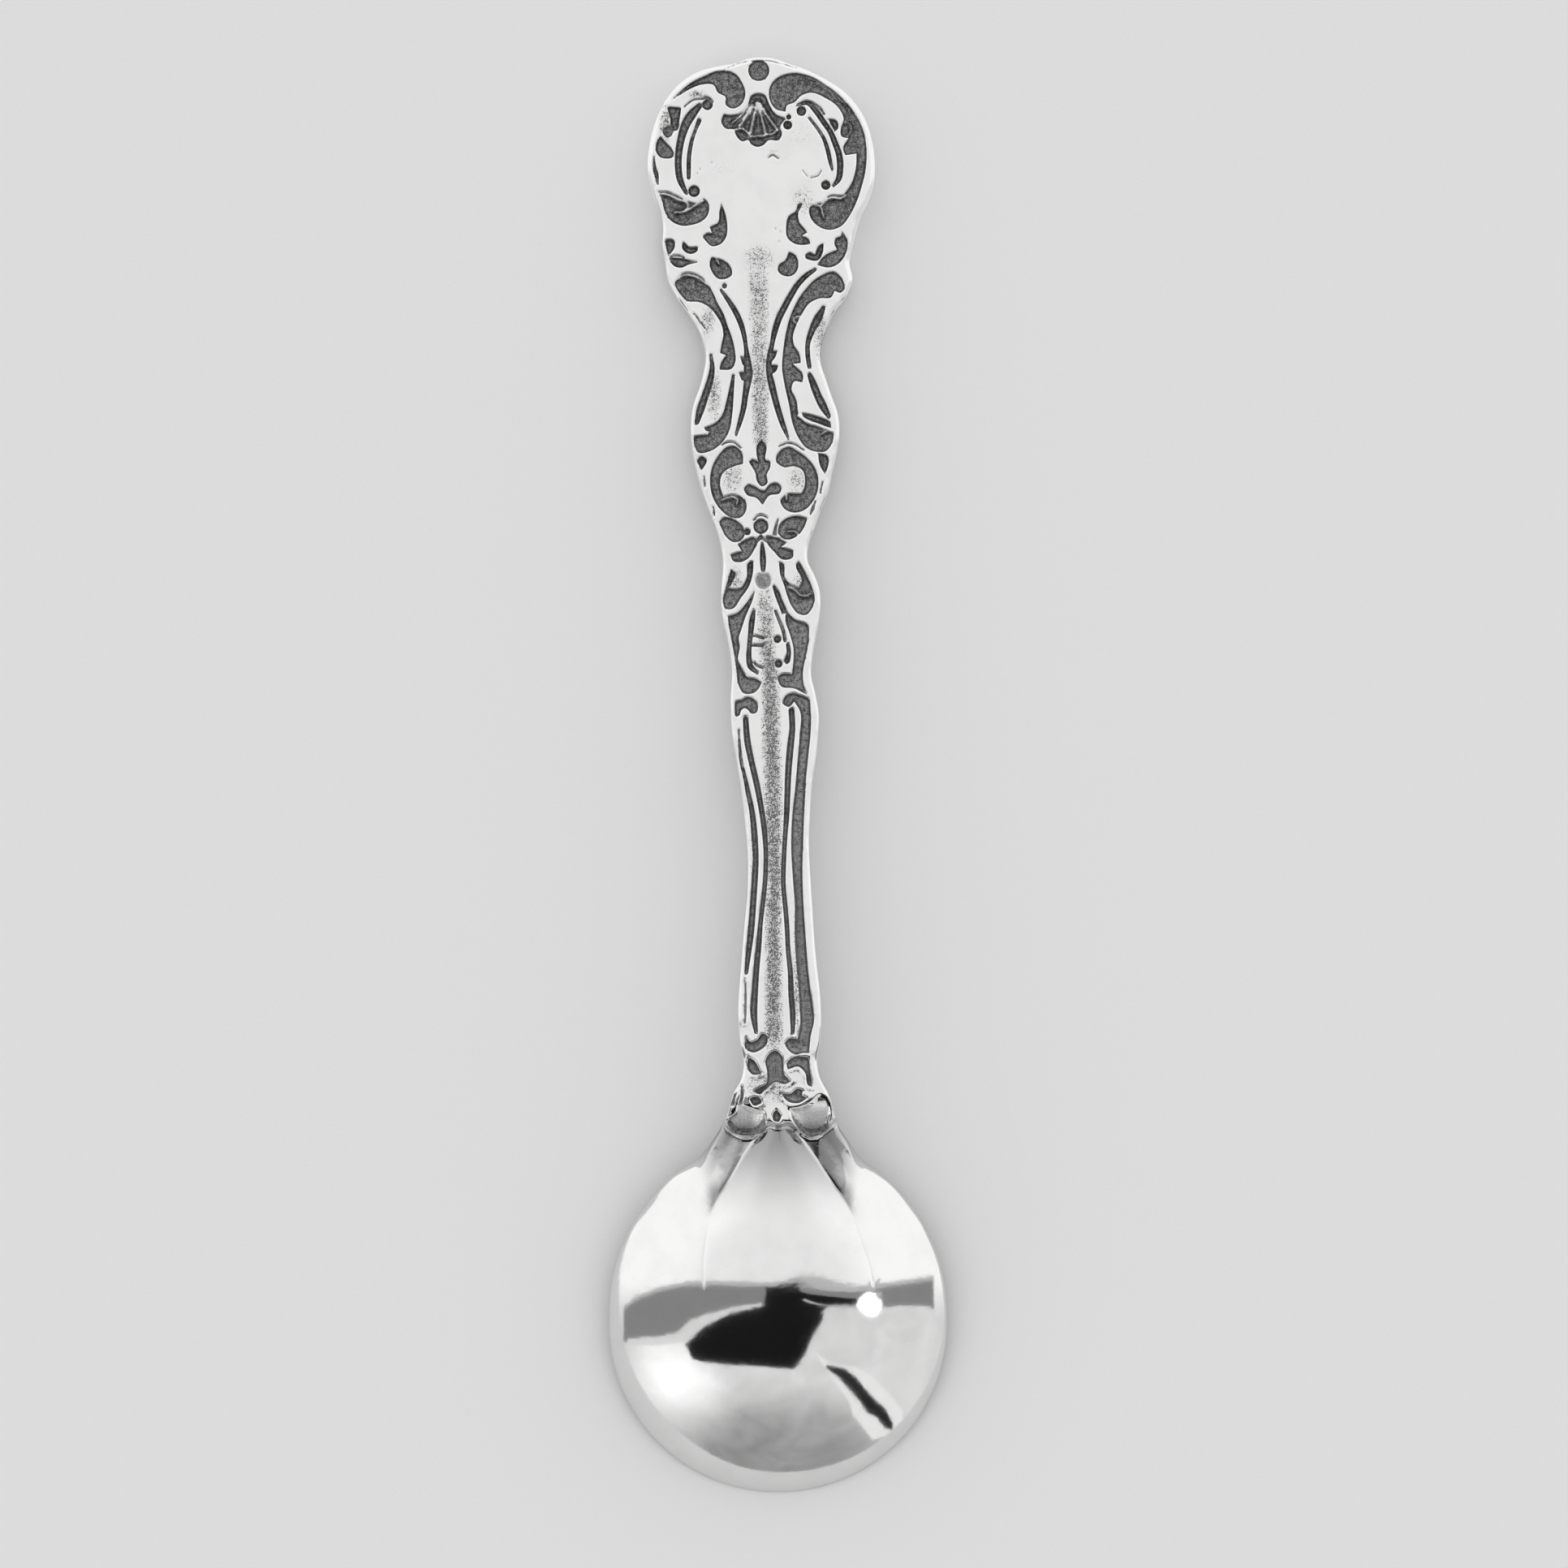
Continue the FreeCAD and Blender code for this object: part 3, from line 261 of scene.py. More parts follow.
def soft_max(a, b, round_over):
    """The higher of two heights, with the crease between them filled in."""
    gap = np.clip(0.5 + 0.5 * (a - b) / round_over, 0, 1)
    return b + (a - b) * gap + round_over * gap * (1 - gap)


def cap(x, at, radius, sink):
    """Height of a sphere that is centred under the middle of the tilted rim."""
    lift = BOWL_RADIUS * math.sin(TILT)
    y0, z0 = sink * math.sin(TILT), lift - sink * math.cos(TILT)
    return z0 + np.sqrt(np.maximum(radius**2 - x**2 - (at - y0)**2, 0.01))


print("crest of the tongue at 0, 4 and 8 mm:", sweep(TONGUE_CREST, np.array([0, 4, 8])).round(2))

# %% The dome, the flanks and the flutes
SPREAD, SPREAD_TURN, SPREAD_SOFTNESS = 0.28, 0.45, 0.5


def dome(x, at):
    """The bowl's cap, drawn out a little to reach the spread shoulders."""
    turn = np.arctan2(at, np.abs(x))
    spread = BOWL_RADIUS + SPREAD * (1 + np.tanh((turn - SPREAD_TURN) / SPREAD_SOFTNESS))
    share = BOWL_RADIUS / spread
    drawn = cap(x * share, at * share, CAP_RADIUS, CAP_SINK)
    return drawn + rim_height(at) - rim_height(at * share)


def flank(x, at):
    """Web beside the tongue: level at the crease and falling away to the outline."""
    half = sweep(TONGUE_HALF, at)
    out = (np.abs(x - sweep(TONGUE_MIDDLE, at)) - half) / (sweep(WEB_HALF, at) - half)
    edge = rim_height(at) + sweep(WEB_EDGE, at)
    return edge + (sweep(VALLEY, at) - edge) * (1 - np.clip(out, 0, 1.1)**2)


FLUTE_MIDDLE, FLUTE_INSIDE = 0.1, 1.8
FLUTE_FALL, FLUTE_TWIST = 0.03, 0.035


def side_skin(x, at):
    """Dome that passes into the flanks, with a nearly level flute beside the tongue."""
    share = ease(4.2, 7.2, at)
    skin = dome(x, at) * (1 - share) + flank(x, at) * share
    out = np.abs(x - FLUTE_MIDDLE)
    fall = FLUTE_FALL + FLUTE_TWIST * (at - 5.0)
    flute = sweep(FLUTE, at) - fall * np.maximum(out - FLUTE_INSIDE, 0)
    return skin + (flute - skin) * ease(4.7, 5.9, at) * (1 - ease(2.85, 3.9, out))


print("height in the flutes:", side_skin(np.array([-2.4, 2.6]), np.array([7.0, 7.0])).round(2))

# %% The tongue and the seams beside it
SEAM_DEPTH, SEAM_WIDTH = 0.02, 0.055
TONGUE_RISE, TONGUE_STEEPNESS = 0.05, 6
CREASE_FILL = 0.03


def bowl_back(x, at):
    """Back of the bowl with its tongue and flanks."""
    middle, half = sweep(TONGUE_MIDDLE, at), sweep(TONGUE_HALF, at)
    crest = sweep(TONGUE_CREST, at)
    side = np.abs(x - middle) / half
    crease = side_skin(middle + np.sign(x - middle) * half, at)
    skin = side_skin(x, at)
    tongue = crest - np.maximum(crest - crease, TONGUE_RISE) * side**2
    tongue -= TONGUE_STEEPNESS * np.maximum(side - 1, 0)**2
    off = np.abs(x - middle) - half
    seam = SEAM_DEPTH * np.exp(-(off / SEAM_WIDTH)**2)
    seam *= ease(1.5, 2.2, at) * (1 - ease(6.5, 8.0, at))
    return skin + (soft_max(tongue, skin, CREASE_FILL) - skin) * ease(0.2, 1.8, at) - seam


tops = dome(np.zeros(9), np.linspace(-1, 3, 9))
print(f"top of the bowl {tops.max():.2f} mm over the table")

# %% [markdown]
# ## The carved pattern
#
# The back is covered with sunk fields between smooth scrolls: a fan at the top, long
# C scrolls down the sides, leaves at the waist, and beads and small scrolls down to the
# neck.  Each sunk field is an outline, each cut line a spine with its half width, and
# each bead a dot.  They were read off the photograph, a few points at a time.

# %% Kinds of motif
def pocket(*points, depth=1.0, slope=None, stained=1.0):
    """A sunk field: share of the full depth, slope as (reach where it is deep, reach
    where it runs out) and share of the oxide that it keeps."""
    return {"line": flowing(points), "half": None, "depth": depth, "slope": slope,
            "stained": stained}


def groove(*spine, depth=1.0):
    """A cut line along (x, reach, half width) points."""
    line = flowing(spine, closed=False)
    return {"line": line[:, :2], "half": line[:, 2], "depth": depth, "slope": None,
            "stained": 1.0}


def dot(x, at, radius, depth=1.0):
    """A round punched dot."""
    turns = np.linspace(0, 2 * math.pi, 25)[:-1]
    line = np.stack([x + radius * np.cos(turns), at + radius * np.sin(turns)], axis=1)
    return {"line": line, "half": None, "depth": depth, "slope": None, "stained": 1.0}


print("a dot has", len(dot(0.0, 0.0, 0.1)["line"]), "corners")

# %% Sunk motifs of the broad end: fan, side scrolls and half-moons
BROAD_END = [
    dot(-0.88, 57.62, 0.48),
    pocket((-4.95, 56.2), (-4.0, 57.05), (-3.5, 57.3), (-2.75, 57.6), (-2.0, 57.48),
           (-1.6, 56.95), (-1.5, 56.55), (-1.75, 56.0), (-2.1, 55.87), (-2.4, 56.05),
           (-2.4, 56.4), (-2.75, 56.6), (-2.95, 56.95), (-3.5, 56.98), (-4.0, 56.8),
           (-4.5, 56.5)),
    dot(-3.24, 56.04, 0.24),
    groove((-3.6, 56.0, 0.12), (-3.95, 55.6, 0.20), (-4.25, 55.1, 0.20),
           (-4.44, 54.5, 0.17), (-4.55, 53.9, 0.16), (-4.58, 53.2, 0.15),
           (-4.50, 52.6, 0.14), (-4.22, 51.98, 0.08)),
    dot(-3.85, 52.05, 0.26),
    groove((-3.62, 55.3, 0.10), (-3.78, 54.9, 0.07), (-3.95, 54.4, 0.08),
           (-4.08, 53.7, 0.09), (-4.1, 53.0, 0.09), (-4.1, 52.65, 0.08)),
    pocket((-5.1, 55.95), (-4.45, 55.9), (-4.52, 55.4), (-4.68, 54.85), (-4.82, 54.85),
           (-4.95, 55.4)),
    pocket((-5.4, 54.6), (-5.15, 54.3), (-4.8, 53.8), (-4.85, 53.62), (-5.1, 53.57),
           (-5.4, 53.63), (-5.6, 53.9), (-5.58, 54.3)),
    pocket((-1.2, 56.48), (-0.6, 56.48), (-0.4, 56.05), (-0.1, 55.6), (0.35, 55.4),
           (0.1, 55.0), (0.18, 54.7), (0.05, 54.42), (-0.45, 54.4), (-0.65, 54.2),
           (-0.95, 54.1), (-1.25, 54.25), (-1.35, 54.42), (-1.62, 54.35), (-1.95, 54.7),
           (-2.0, 54.88), (-2.4, 54.95), (-2.6, 55.25), (-2.5, 55.6), (-2.2, 55.55),
           (-1.8, 55.62), (-1.4, 56.0)),
    dot(0.45, 55.1, 0.2),
    pocket((0.35, 55.72), (-0.1, 55.85), (-0.38, 56.3), (-0.38, 56.8), (-0.1, 57.22),
           (0.6, 57.48), (1.4, 57.38), (2.3, 56.88), (3.0, 56.3), (3.55, 55.62),
           (3.95, 54.75), (4.07, 53.9), (4.0, 52.9), (3.85, 52.3), (3.6, 51.55),
           (3.3, 50.95), (2.9, 50.45), (2.4, 50.28), (1.85, 50.45), (1.48, 50.9),
           (1.45, 51.25), (1.7, 51.47), (2.0, 51.53), (2.35, 51.85), (3.0, 51.9),
           (3.35, 52.35), (3.6, 53.2), (3.62, 53.8), (3.1, 53.72), (3.0, 54.0),
           (3.25, 54.5), (2.92, 54.6), (2.9, 54.95), (3.03, 55.35), (2.75, 55.95),
           (2.2, 56.35), (1.5, 56.6), (1.05, 56.45), (0.75, 56.15), (0.4, 56.0)),
    groove((0.95, 56.05, 0.07), (1.35, 56.13, 0.10), (1.75, 55.75, 0.12),
           (2.1, 55.25, 0.12), (2.38, 54.85, 0.12), (2.62, 54.3, 0.13),
           (2.82, 53.7, 0.14), (2.86, 53.1, 0.14), (2.78, 52.6, 0.12),
           (2.55, 52.3, 0.06)),
    dot(1.08, 55.75, 0.22),
    dot(2.20, 52.33, 0.21),
    groove((1.45, 55.42, 0.06), (1.85, 54.9, 0.07), (2.1, 54.5, 0.08),
           (2.3, 53.9, 0.09), (2.42, 53.35, 0.08), (2.5, 53.05, 0.06)),
    pocket((2.3, 55.4), (2.72, 55.28), (2.76, 54.95), (2.62, 54.8)),
    pocket((-5.5, 52.05), (-5.0, 52.03), (-4.6, 51.85), (-4.1, 51.58), (-3.75, 51.5),
           (-3.4, 51.72), (-3.2, 51.5), (-3.17, 51.15), (-3.3, 50.85), (-3.6, 50.62),
           (-4.0, 50.5), (-4.4, 50.47), (-4.8, 50.62), (-5.05, 50.85), (-5.2, 51.15),
           (-5.3, 51.55)),
    pocket((-2.6, 51.5), (-2.45, 51.1), (-2.33, 50.4), (-2.38, 49.95), (-2.6, 49.65),
           (-3.0, 49.52), (-3.45, 49.92), (-3.35, 50.07), (-3.02, 50.12), (-3.13, 50.4),
           (-2.75, 50.6), (-2.68, 51.1)),
    pocket((-5.0, 49.85), (-4.78, 49.8), (-4.74, 49.5), (-5.02, 49.08), (-5.15, 49.5),
           (-5.15, 49.8)),
    pocket((-4.35, 49.75), (-4.4, 49.45), (-4.2, 49.22), (-3.95, 49.17), (-3.68, 49.35),
           (-3.68, 49.5), (-4.05, 49.48)),
    pocket((-5.0, 49.0), (-4.35, 48.95), (-4.0, 48.85), (-3.6, 48.78), (-4.15, 48.66),
           (-4.4, 48.54), (-4.7, 48.58), (-4.92, 48.78)),
    pocket((-3.05, 49.0), (-2.75, 48.95), (-2.4, 48.8), (-2.13, 48.45), (-2.12, 48.2),
           (-2.4, 48.02), (-2.75, 48.03), (-3.0, 48.3), (-3.13, 48.75)),
    pocket((1.15, 51.48), (0.98, 51.48), (0.8, 51.1), (0.55, 50.95), (0.38, 50.35),
           (0.45, 49.9), (0.75, 49.65), (1.15, 49.58), (1.5, 49.63), (1.4, 49.85),
           (1.08, 50.0), (1.35, 50.15), (0.95, 50.7), (0.92, 51.0)),
    pocket((2.1, 49.65), (1.9, 49.55), (1.7, 49.12), (1.45, 49.23), (1.27, 49.12),
           (1.27, 48.98), (1.5, 48.88), (1.85, 48.88), (2.03, 49.15)),
    pocket((2.95, 50.2), (3.2, 49.75), (3.2, 49.5), (3.05, 49.05), (2.75, 48.7),
           (2.4, 48.55), (1.8, 48.65), (2.15, 49.08), (2.72, 49.35), (2.6, 49.65),
           (2.68, 49.9), (2.88, 49.97)),
    pocket((0.5, 49.25), (0.8, 49.1), (0.93, 48.75), (0.85, 48.35), (0.6, 48.15),
           (0.25, 48.17), (0.0, 48.4), (0.05, 48.65), (0.35, 48.87)),
]
print(len(BROAD_END), "motifs in the broad end")

# %% Sunk motifs of the waist: long scrolls and leaves
WAIST = [
    pocket((-4.72, 47.8), (-4.5, 48.2), (-4.1, 48.32), (-3.7, 48.22), (-3.3, 47.9),
           (-3.0, 47.4), (-2.75, 46.85), (-2.5, 46.4), (-2.33, 45.9), (-2.1, 45.25),
           (-1.98, 44.7), (-1.96, 44.2), (-2.1, 43.9), (-2.68, 43.83), (-2.62, 44.1),
           (-2.38, 44.5), (-2.65, 44.6), (-2.58, 45.0), (-2.5, 45.4), (-2.58, 45.9),
           (-2.8, 46.3), (-3.2, 46.75), (-3.6, 46.95), (-4.2, 47.02), (-4.5, 47.35)),
    groove((-2.62, 47.5, 0.06), (-2.2, 46.9, 0.10), (-1.95, 46.5, 0.12),
           (-1.72, 46.0, 0.12), (-1.55, 45.4, 0.10), (-1.46, 44.8, 0.09),
           (-1.4, 44.2, 0.16), (-1.36, 43.6, 0.20), (-1.43, 43.05, 0.15),
           (-1.5, 42.6, 0.13), (-1.57, 42.1, 0.12), (-1.72, 41.5, 0.10),
           (-1.92, 40.85, 0.06)),
    groove((-3.07, 44.5, 0.06), (-3.02, 43.9, 0.11), (-3.12, 43.3, 0.15),
           (-3.35, 42.6, 0.16), (-3.55, 42.0, 0.17), (-3.72, 41.4, 0.10)),
    pocket((-1.98, 43.6), (-2.02, 43.0), (-2.05, 42.4), (-2.1, 41.8), (-2.25, 41.0),
           (-2.6, 40.45), (-3.1, 40.1), (-3.65, 40.03), (-3.85, 40.5), (-3.85, 40.78),
           (-3.2, 40.85), (-3.38, 41.15), (-2.85, 41.4), (-2.55, 41.75), (-2.38, 42.3),
           (-2.22, 43.0), (-2.1, 43.6)),
    groove((1.72, 48.45, 0.07), (1.35, 48.2, 0.11), (0.95, 47.8, 0.12),
           (0.6, 47.25, 0.13), (0.3, 46.7, 0.14), (0.05, 46.2, 0.14),
           (-0.13, 45.65, 0.13), (-0.27, 45.0, 0.10), (-0.38, 44.4, 0.13),
           (-0.42, 43.8, 0.12), (-0.3, 43.2, 0.15), (-0.13, 42.5, 0.14),
           (0.05, 41.85, 0.13), (0.25, 41.25, 0.11), (0.47, 40.7, 0.05)),
    pocket((2.65, 48.3), (2.95, 48.0), (3.05, 47.55), (2.88, 47.38), (2.6, 47.48),
           (2.45, 47.18), (1.9, 47.12), (1.45, 46.9), (1.1, 46.4), (0.85, 45.9),
           (0.68, 45.3), (0.72, 45.0), (1.0, 44.5), (1.05, 44.15), (0.68, 44.1),
           (1.15, 43.55), (1.12, 43.25), (0.75, 43.3), (0.62, 43.0), (0.85, 42.4),
           (0.97, 41.75), (1.25, 41.4), (2.0, 41.2), (2.5, 41.0), (2.45, 40.4),
           (2.2, 40.1), (1.7, 40.08), (1.3, 40.25), (0.95, 40.7), (0.7, 41.3),
           (0.5, 42.3), (0.32, 43.1), (0.2, 43.9), (0.25, 44.7), (0.37, 45.5),
           (0.55, 46.2), (0.85, 46.9), (1.25, 47.5), (1.8, 48.05)),
    groove((2.1, 46.7, 0.08), (1.85, 46.2, 0.18), (1.55, 45.6, 0.14),
           (1.37, 45.0, 0.10), (1.37, 44.5, 0.10), (1.45, 43.95, 0.09)),
    groove((1.45, 43.6, 0.10), (1.65, 43.1, 0.16), (1.85, 42.6, 0.17),
           (2.1, 42.1, 0.17), (2.33, 41.7, 0.10)),
]
print(len(WAIST), "motifs in the waist")

# %% Sunk motifs of the belt: sprig and C scrolls
BELT = [
    pocket((-0.75, 40.6), (-0.55, 40.35), (-0.52, 39.65), (-0.38, 39.62), (-0.35, 39.4),
           (-0.52, 39.0), (-0.5, 38.6), (-0.72, 38.47), (-0.95, 38.7), (-1.02, 39.05),
           (-1.33, 39.6), (-1.18, 39.7), (-0.9, 39.6), (-0.98, 40.0), (-0.95, 40.35)),
    pocket((-1.55, 38.35), (-1.35, 38.55), (-1.1, 38.48), (-0.65, 38.27), (-0.35, 38.57),
           (-0.05, 38.62), (0.15, 38.45), (0.1, 38.18), (-0.4, 38.05), (-0.7, 37.62),
           (-1.0, 37.95), (-1.4, 38.07)),
    pocket((-1.6, 39.5), (-1.65, 40.0), (-1.95, 40.3), (-2.3, 40.28), (-2.75, 39.85),
           (-3.05, 39.2), (-3.1, 38.5), (-2.95, 37.9), (-2.55, 37.33), (-2.1, 37.03),
           (-1.75, 37.03), (-1.45, 37.4), (-1.5, 37.8), (-2.0, 38.1), (-2.5, 38.0),
           (-2.66, 38.5), (-2.55, 39.05), (-1.95, 39.42)),
    pocket((-0.08, 39.62), (0.15, 40.15), (0.5, 40.27), (0.9, 40.08), (1.45, 39.65),
           (1.8, 39.05), (1.84, 38.4), (1.6, 37.78), (1.2, 37.38), (0.75, 37.27),
           (0.3, 37.45), (0.12, 37.8), (0.4, 38.1), (1.1, 38.18), (1.25, 38.65),
           (1.1, 39.25), (0.7, 39.4), (0.3, 39.35)),
    pocket((-3.68, 39.7), (-3.48, 39.85), (-3.28, 39.7), (-3.5, 39.2)),
    pocket((1.84, 40.0), (2.28, 39.85), (2.3, 39.4), (2.15, 39.05), (1.95, 39.4)),
]
print(len(BELT), "motifs in the belt")

# %% Sunk motifs of the knuckle: beads, wings and ribbons
KNUCKLE = [
    pocket((-2.68, 36.85), (-2.5, 37.02), (-2.0, 36.95), (-1.68, 36.7), (-1.52, 36.3),
           (-1.7, 35.98), (-2.05, 35.92), (-2.4, 36.2), (-2.58, 36.55)),
    dot(-0.78, 36.63, 0.34),
    pocket((-1.1, 36.12), (-0.95, 35.9), (-1.1, 35.55), (-1.35, 35.18), (-1.7, 35.0),
           (-2.05, 35.05), (-2.18, 35.33), (-1.65, 35.5), (-1.85, 35.8), (-1.4, 36.05)),
    pocket((-0.55, 36.2), (0.0, 36.1), (0.42, 35.88), (0.12, 35.68), (0.7, 35.53),
           (0.68, 35.22), (0.2, 35.12), (-0.15, 35.45), (-0.5, 35.9)),
    groove((-0.72, 35.85, 0.06), (-0.7, 35.4, 0.12), (-0.68, 34.9, 0.13),
           (-0.68, 34.65, 0.10)),
    pocket((0.02, 36.3), (0.1, 36.75), (0.45, 37.02), (0.85, 37.1), (1.35, 37.0),
           (1.2, 36.6), (0.95, 36.25), (0.4, 36.03)),
    dot(-0.67, 34.12, 0.42, depth=0.22),
    pocket((-1.13, 35.05), (-1.15, 34.5), (-1.35, 33.85), (-1.7, 33.35), (-2.1, 32.85),
           (-2.4, 32.85), (-2.52, 33.2), (-2.4, 33.75), (-2.15, 34.65), (-1.95, 34.5),
           (-2.1, 34.05), (-2.25, 33.78), (-1.75, 33.78), (-1.45, 34.2), (-1.3, 35.0)),
    pocket((-2.3, 32.5), (-1.95, 32.6), (-1.45, 33.1), (-1.03, 33.75), (-1.15, 33.3),
           (-1.5, 32.45), (-1.68, 31.9), (-1.8, 31.5), (-1.75, 31.1), (-1.83, 30.5),
           (-1.65, 30.1), (-1.4, 29.72), (-1.0, 29.63), (-0.75, 29.48), (-0.88, 29.2),
           (-1.1, 29.0), (-1.6, 29.0), (-1.78, 29.3), (-1.9, 30.1), (-2.05, 31.0),
           (-2.2, 31.8)),
    groove((-1.1, 32.75, 0.07), (-1.2, 32.2, 0.13), (-1.25, 31.7, 0.11),
           (-1.31, 31.1, 0.10), (-1.33, 30.6, 0.12), (-1.25, 30.2, 0.13),
           (-0.95, 29.92, 0.07)),
    groove((-0.12, 32.75, 0.06), (0.08, 32.25, 0.07), (0.27, 31.75, 0.08),
           (0.33, 31.4, 0.08)),
    dot(-0.02, 31.45, 0.17),
    groove((0.46, 31.2, 0.08), (0.5, 30.8, 0.10), (0.42, 30.45, 0.13)),
    dot(0.03, 30.33, 0.18),
    groove((-0.17, 33.85, 0.07), (-0.02, 33.5, 0.12), (0.13, 33.1, 0.12),
           (0.28, 32.75, 0.13)),
    pocket((0.38, 32.75), (0.8, 32.35), (1.38, 32.1), (1.42, 31.6), (1.28, 30.7),
           (1.14, 29.9), (1.17, 29.4), (1.35, 28.9), (1.1, 29.03), (0.75, 29.2),
           (0.15, 29.3), (0.02, 29.75), (0.15, 29.85), (0.65, 29.85), (0.72, 30.5),
           (0.72, 31.0), (0.55, 31.7), (0.35, 32.3)),
    pocket((0.05, 35.0), (0.2, 34.95), (0.35, 34.2), (0.55, 34.0), (0.95, 33.8),
           (1.1, 34.1), (0.85, 34.9), (0.95, 35.05), (1.3, 34.4), (1.6, 33.7),
           (1.68, 33.3), (1.55, 32.85), (1.3, 32.58), (0.95, 32.62), (0.65, 32.95),
           (0.45, 33.4), (0.3, 33.9), (0.12, 34.4)),
]
print(len(KNUCKLE), "motifs in the knuckle")

# %% Sunk motifs of the stem: long rails
STEM = [
    pocket((-1.9, 28.62), (-1.68, 28.66), (-1.42, 28.80), (-1.1, 28.71), (-0.92, 28.4),
           (-1.0, 28.08), (-1.22, 28.05), (-1.37, 28.22), (-1.52, 28.3), (-1.68, 28.2),
           (-1.78, 27.95), (-1.95, 27.9), (-1.98, 28.2)),
    groove((-1.48, 27.8, 0.12), (-1.4, 26.8, 0.14), (-1.2, 25.8, 0.13),
           (-0.97, 24.8, 0.13), (-0.78, 23.8, 0.12), (-0.63, 22.8, 0.12),
           (-0.55, 21.7, 0.10), (-0.57, 20.6, 0.10), (-0.67, 19.5, 0.10),
           (-0.80, 18.4, 0.10), (-0.88, 17.4, 0.12), (-0.98, 16.4, 0.13),
           (-1.05, 15.4, 0.14), (-1.1, 14.2, 0.15), (-1.0, 13.45, 0.08)),
    groove((-1.60, 25.5, 0.07), (-1.38, 24.5, 0.10), (-1.18, 23.5, 0.12),
           (-1.08, 22.5, 0.14), (-1.02, 21.3, 0.13), (-1.08, 20.2, 0.14),
           (-1.16, 19.0, 0.14), (-1.24, 18.0, 0.14), (-1.36, 17.0, 0.12),
           (-1.45, 16.15, 0.08)),
    groove((0.62, 28.2, 0.13), (0.66, 27.4, 0.13), (0.56, 26.4, 0.15),
           (0.48, 25.4, 0.14), (0.44, 24.4, 0.13), (0.40, 23.4, 0.12),
           (0.33, 22.4, 0.10), (0.27, 21.3, 0.10), (0.25, 20.2, 0.10),
           (0.34, 19.2, 0.10), (0.42, 18.2, 0.10), (0.47, 17.2, 0.10),
           (0.57, 16.2, 0.11), (0.61, 15.2, 0.12), (0.68, 14.2, 0.12),
           (0.68, 13.4, 0.08)),
    pocket((0.2, 28.5), (0.35, 28.85), (0.7, 28.98), (1.0, 28.9), (1.38, 28.75),
           (1.5, 28.1), (1.5, 27.3), (1.4, 26.2), (1.27, 24.9), (1.2, 23.6),
           (1.15, 22.2), (1.12, 20.9), (1.16, 19.4), (1.25, 18.0), (1.33, 16.9),
           (1.45, 15.6), (1.6, 14.6), (1.65, 14.0), (1.5, 13.3), (1.42, 12.5),
           (1.1, 12.5), (0.85, 12.43), (0.45, 12.68), (0.33, 12.95), (0.5, 13.15),
           (0.9, 13.12), (1.02, 13.7), (1.0, 14.6), (0.95, 15.5), (0.85, 16.6),
           (0.78, 17.8), (0.78, 19.3), (0.7, 20.4), (0.62, 21.8), (0.66, 23.3),
           (0.8, 24.6), (0.9, 25.8), (1.0, 27.0), (1.0, 28.2), (0.75, 28.6),
           (0.5, 28.35)),
]
print(len(STEM), "motifs in the stem")

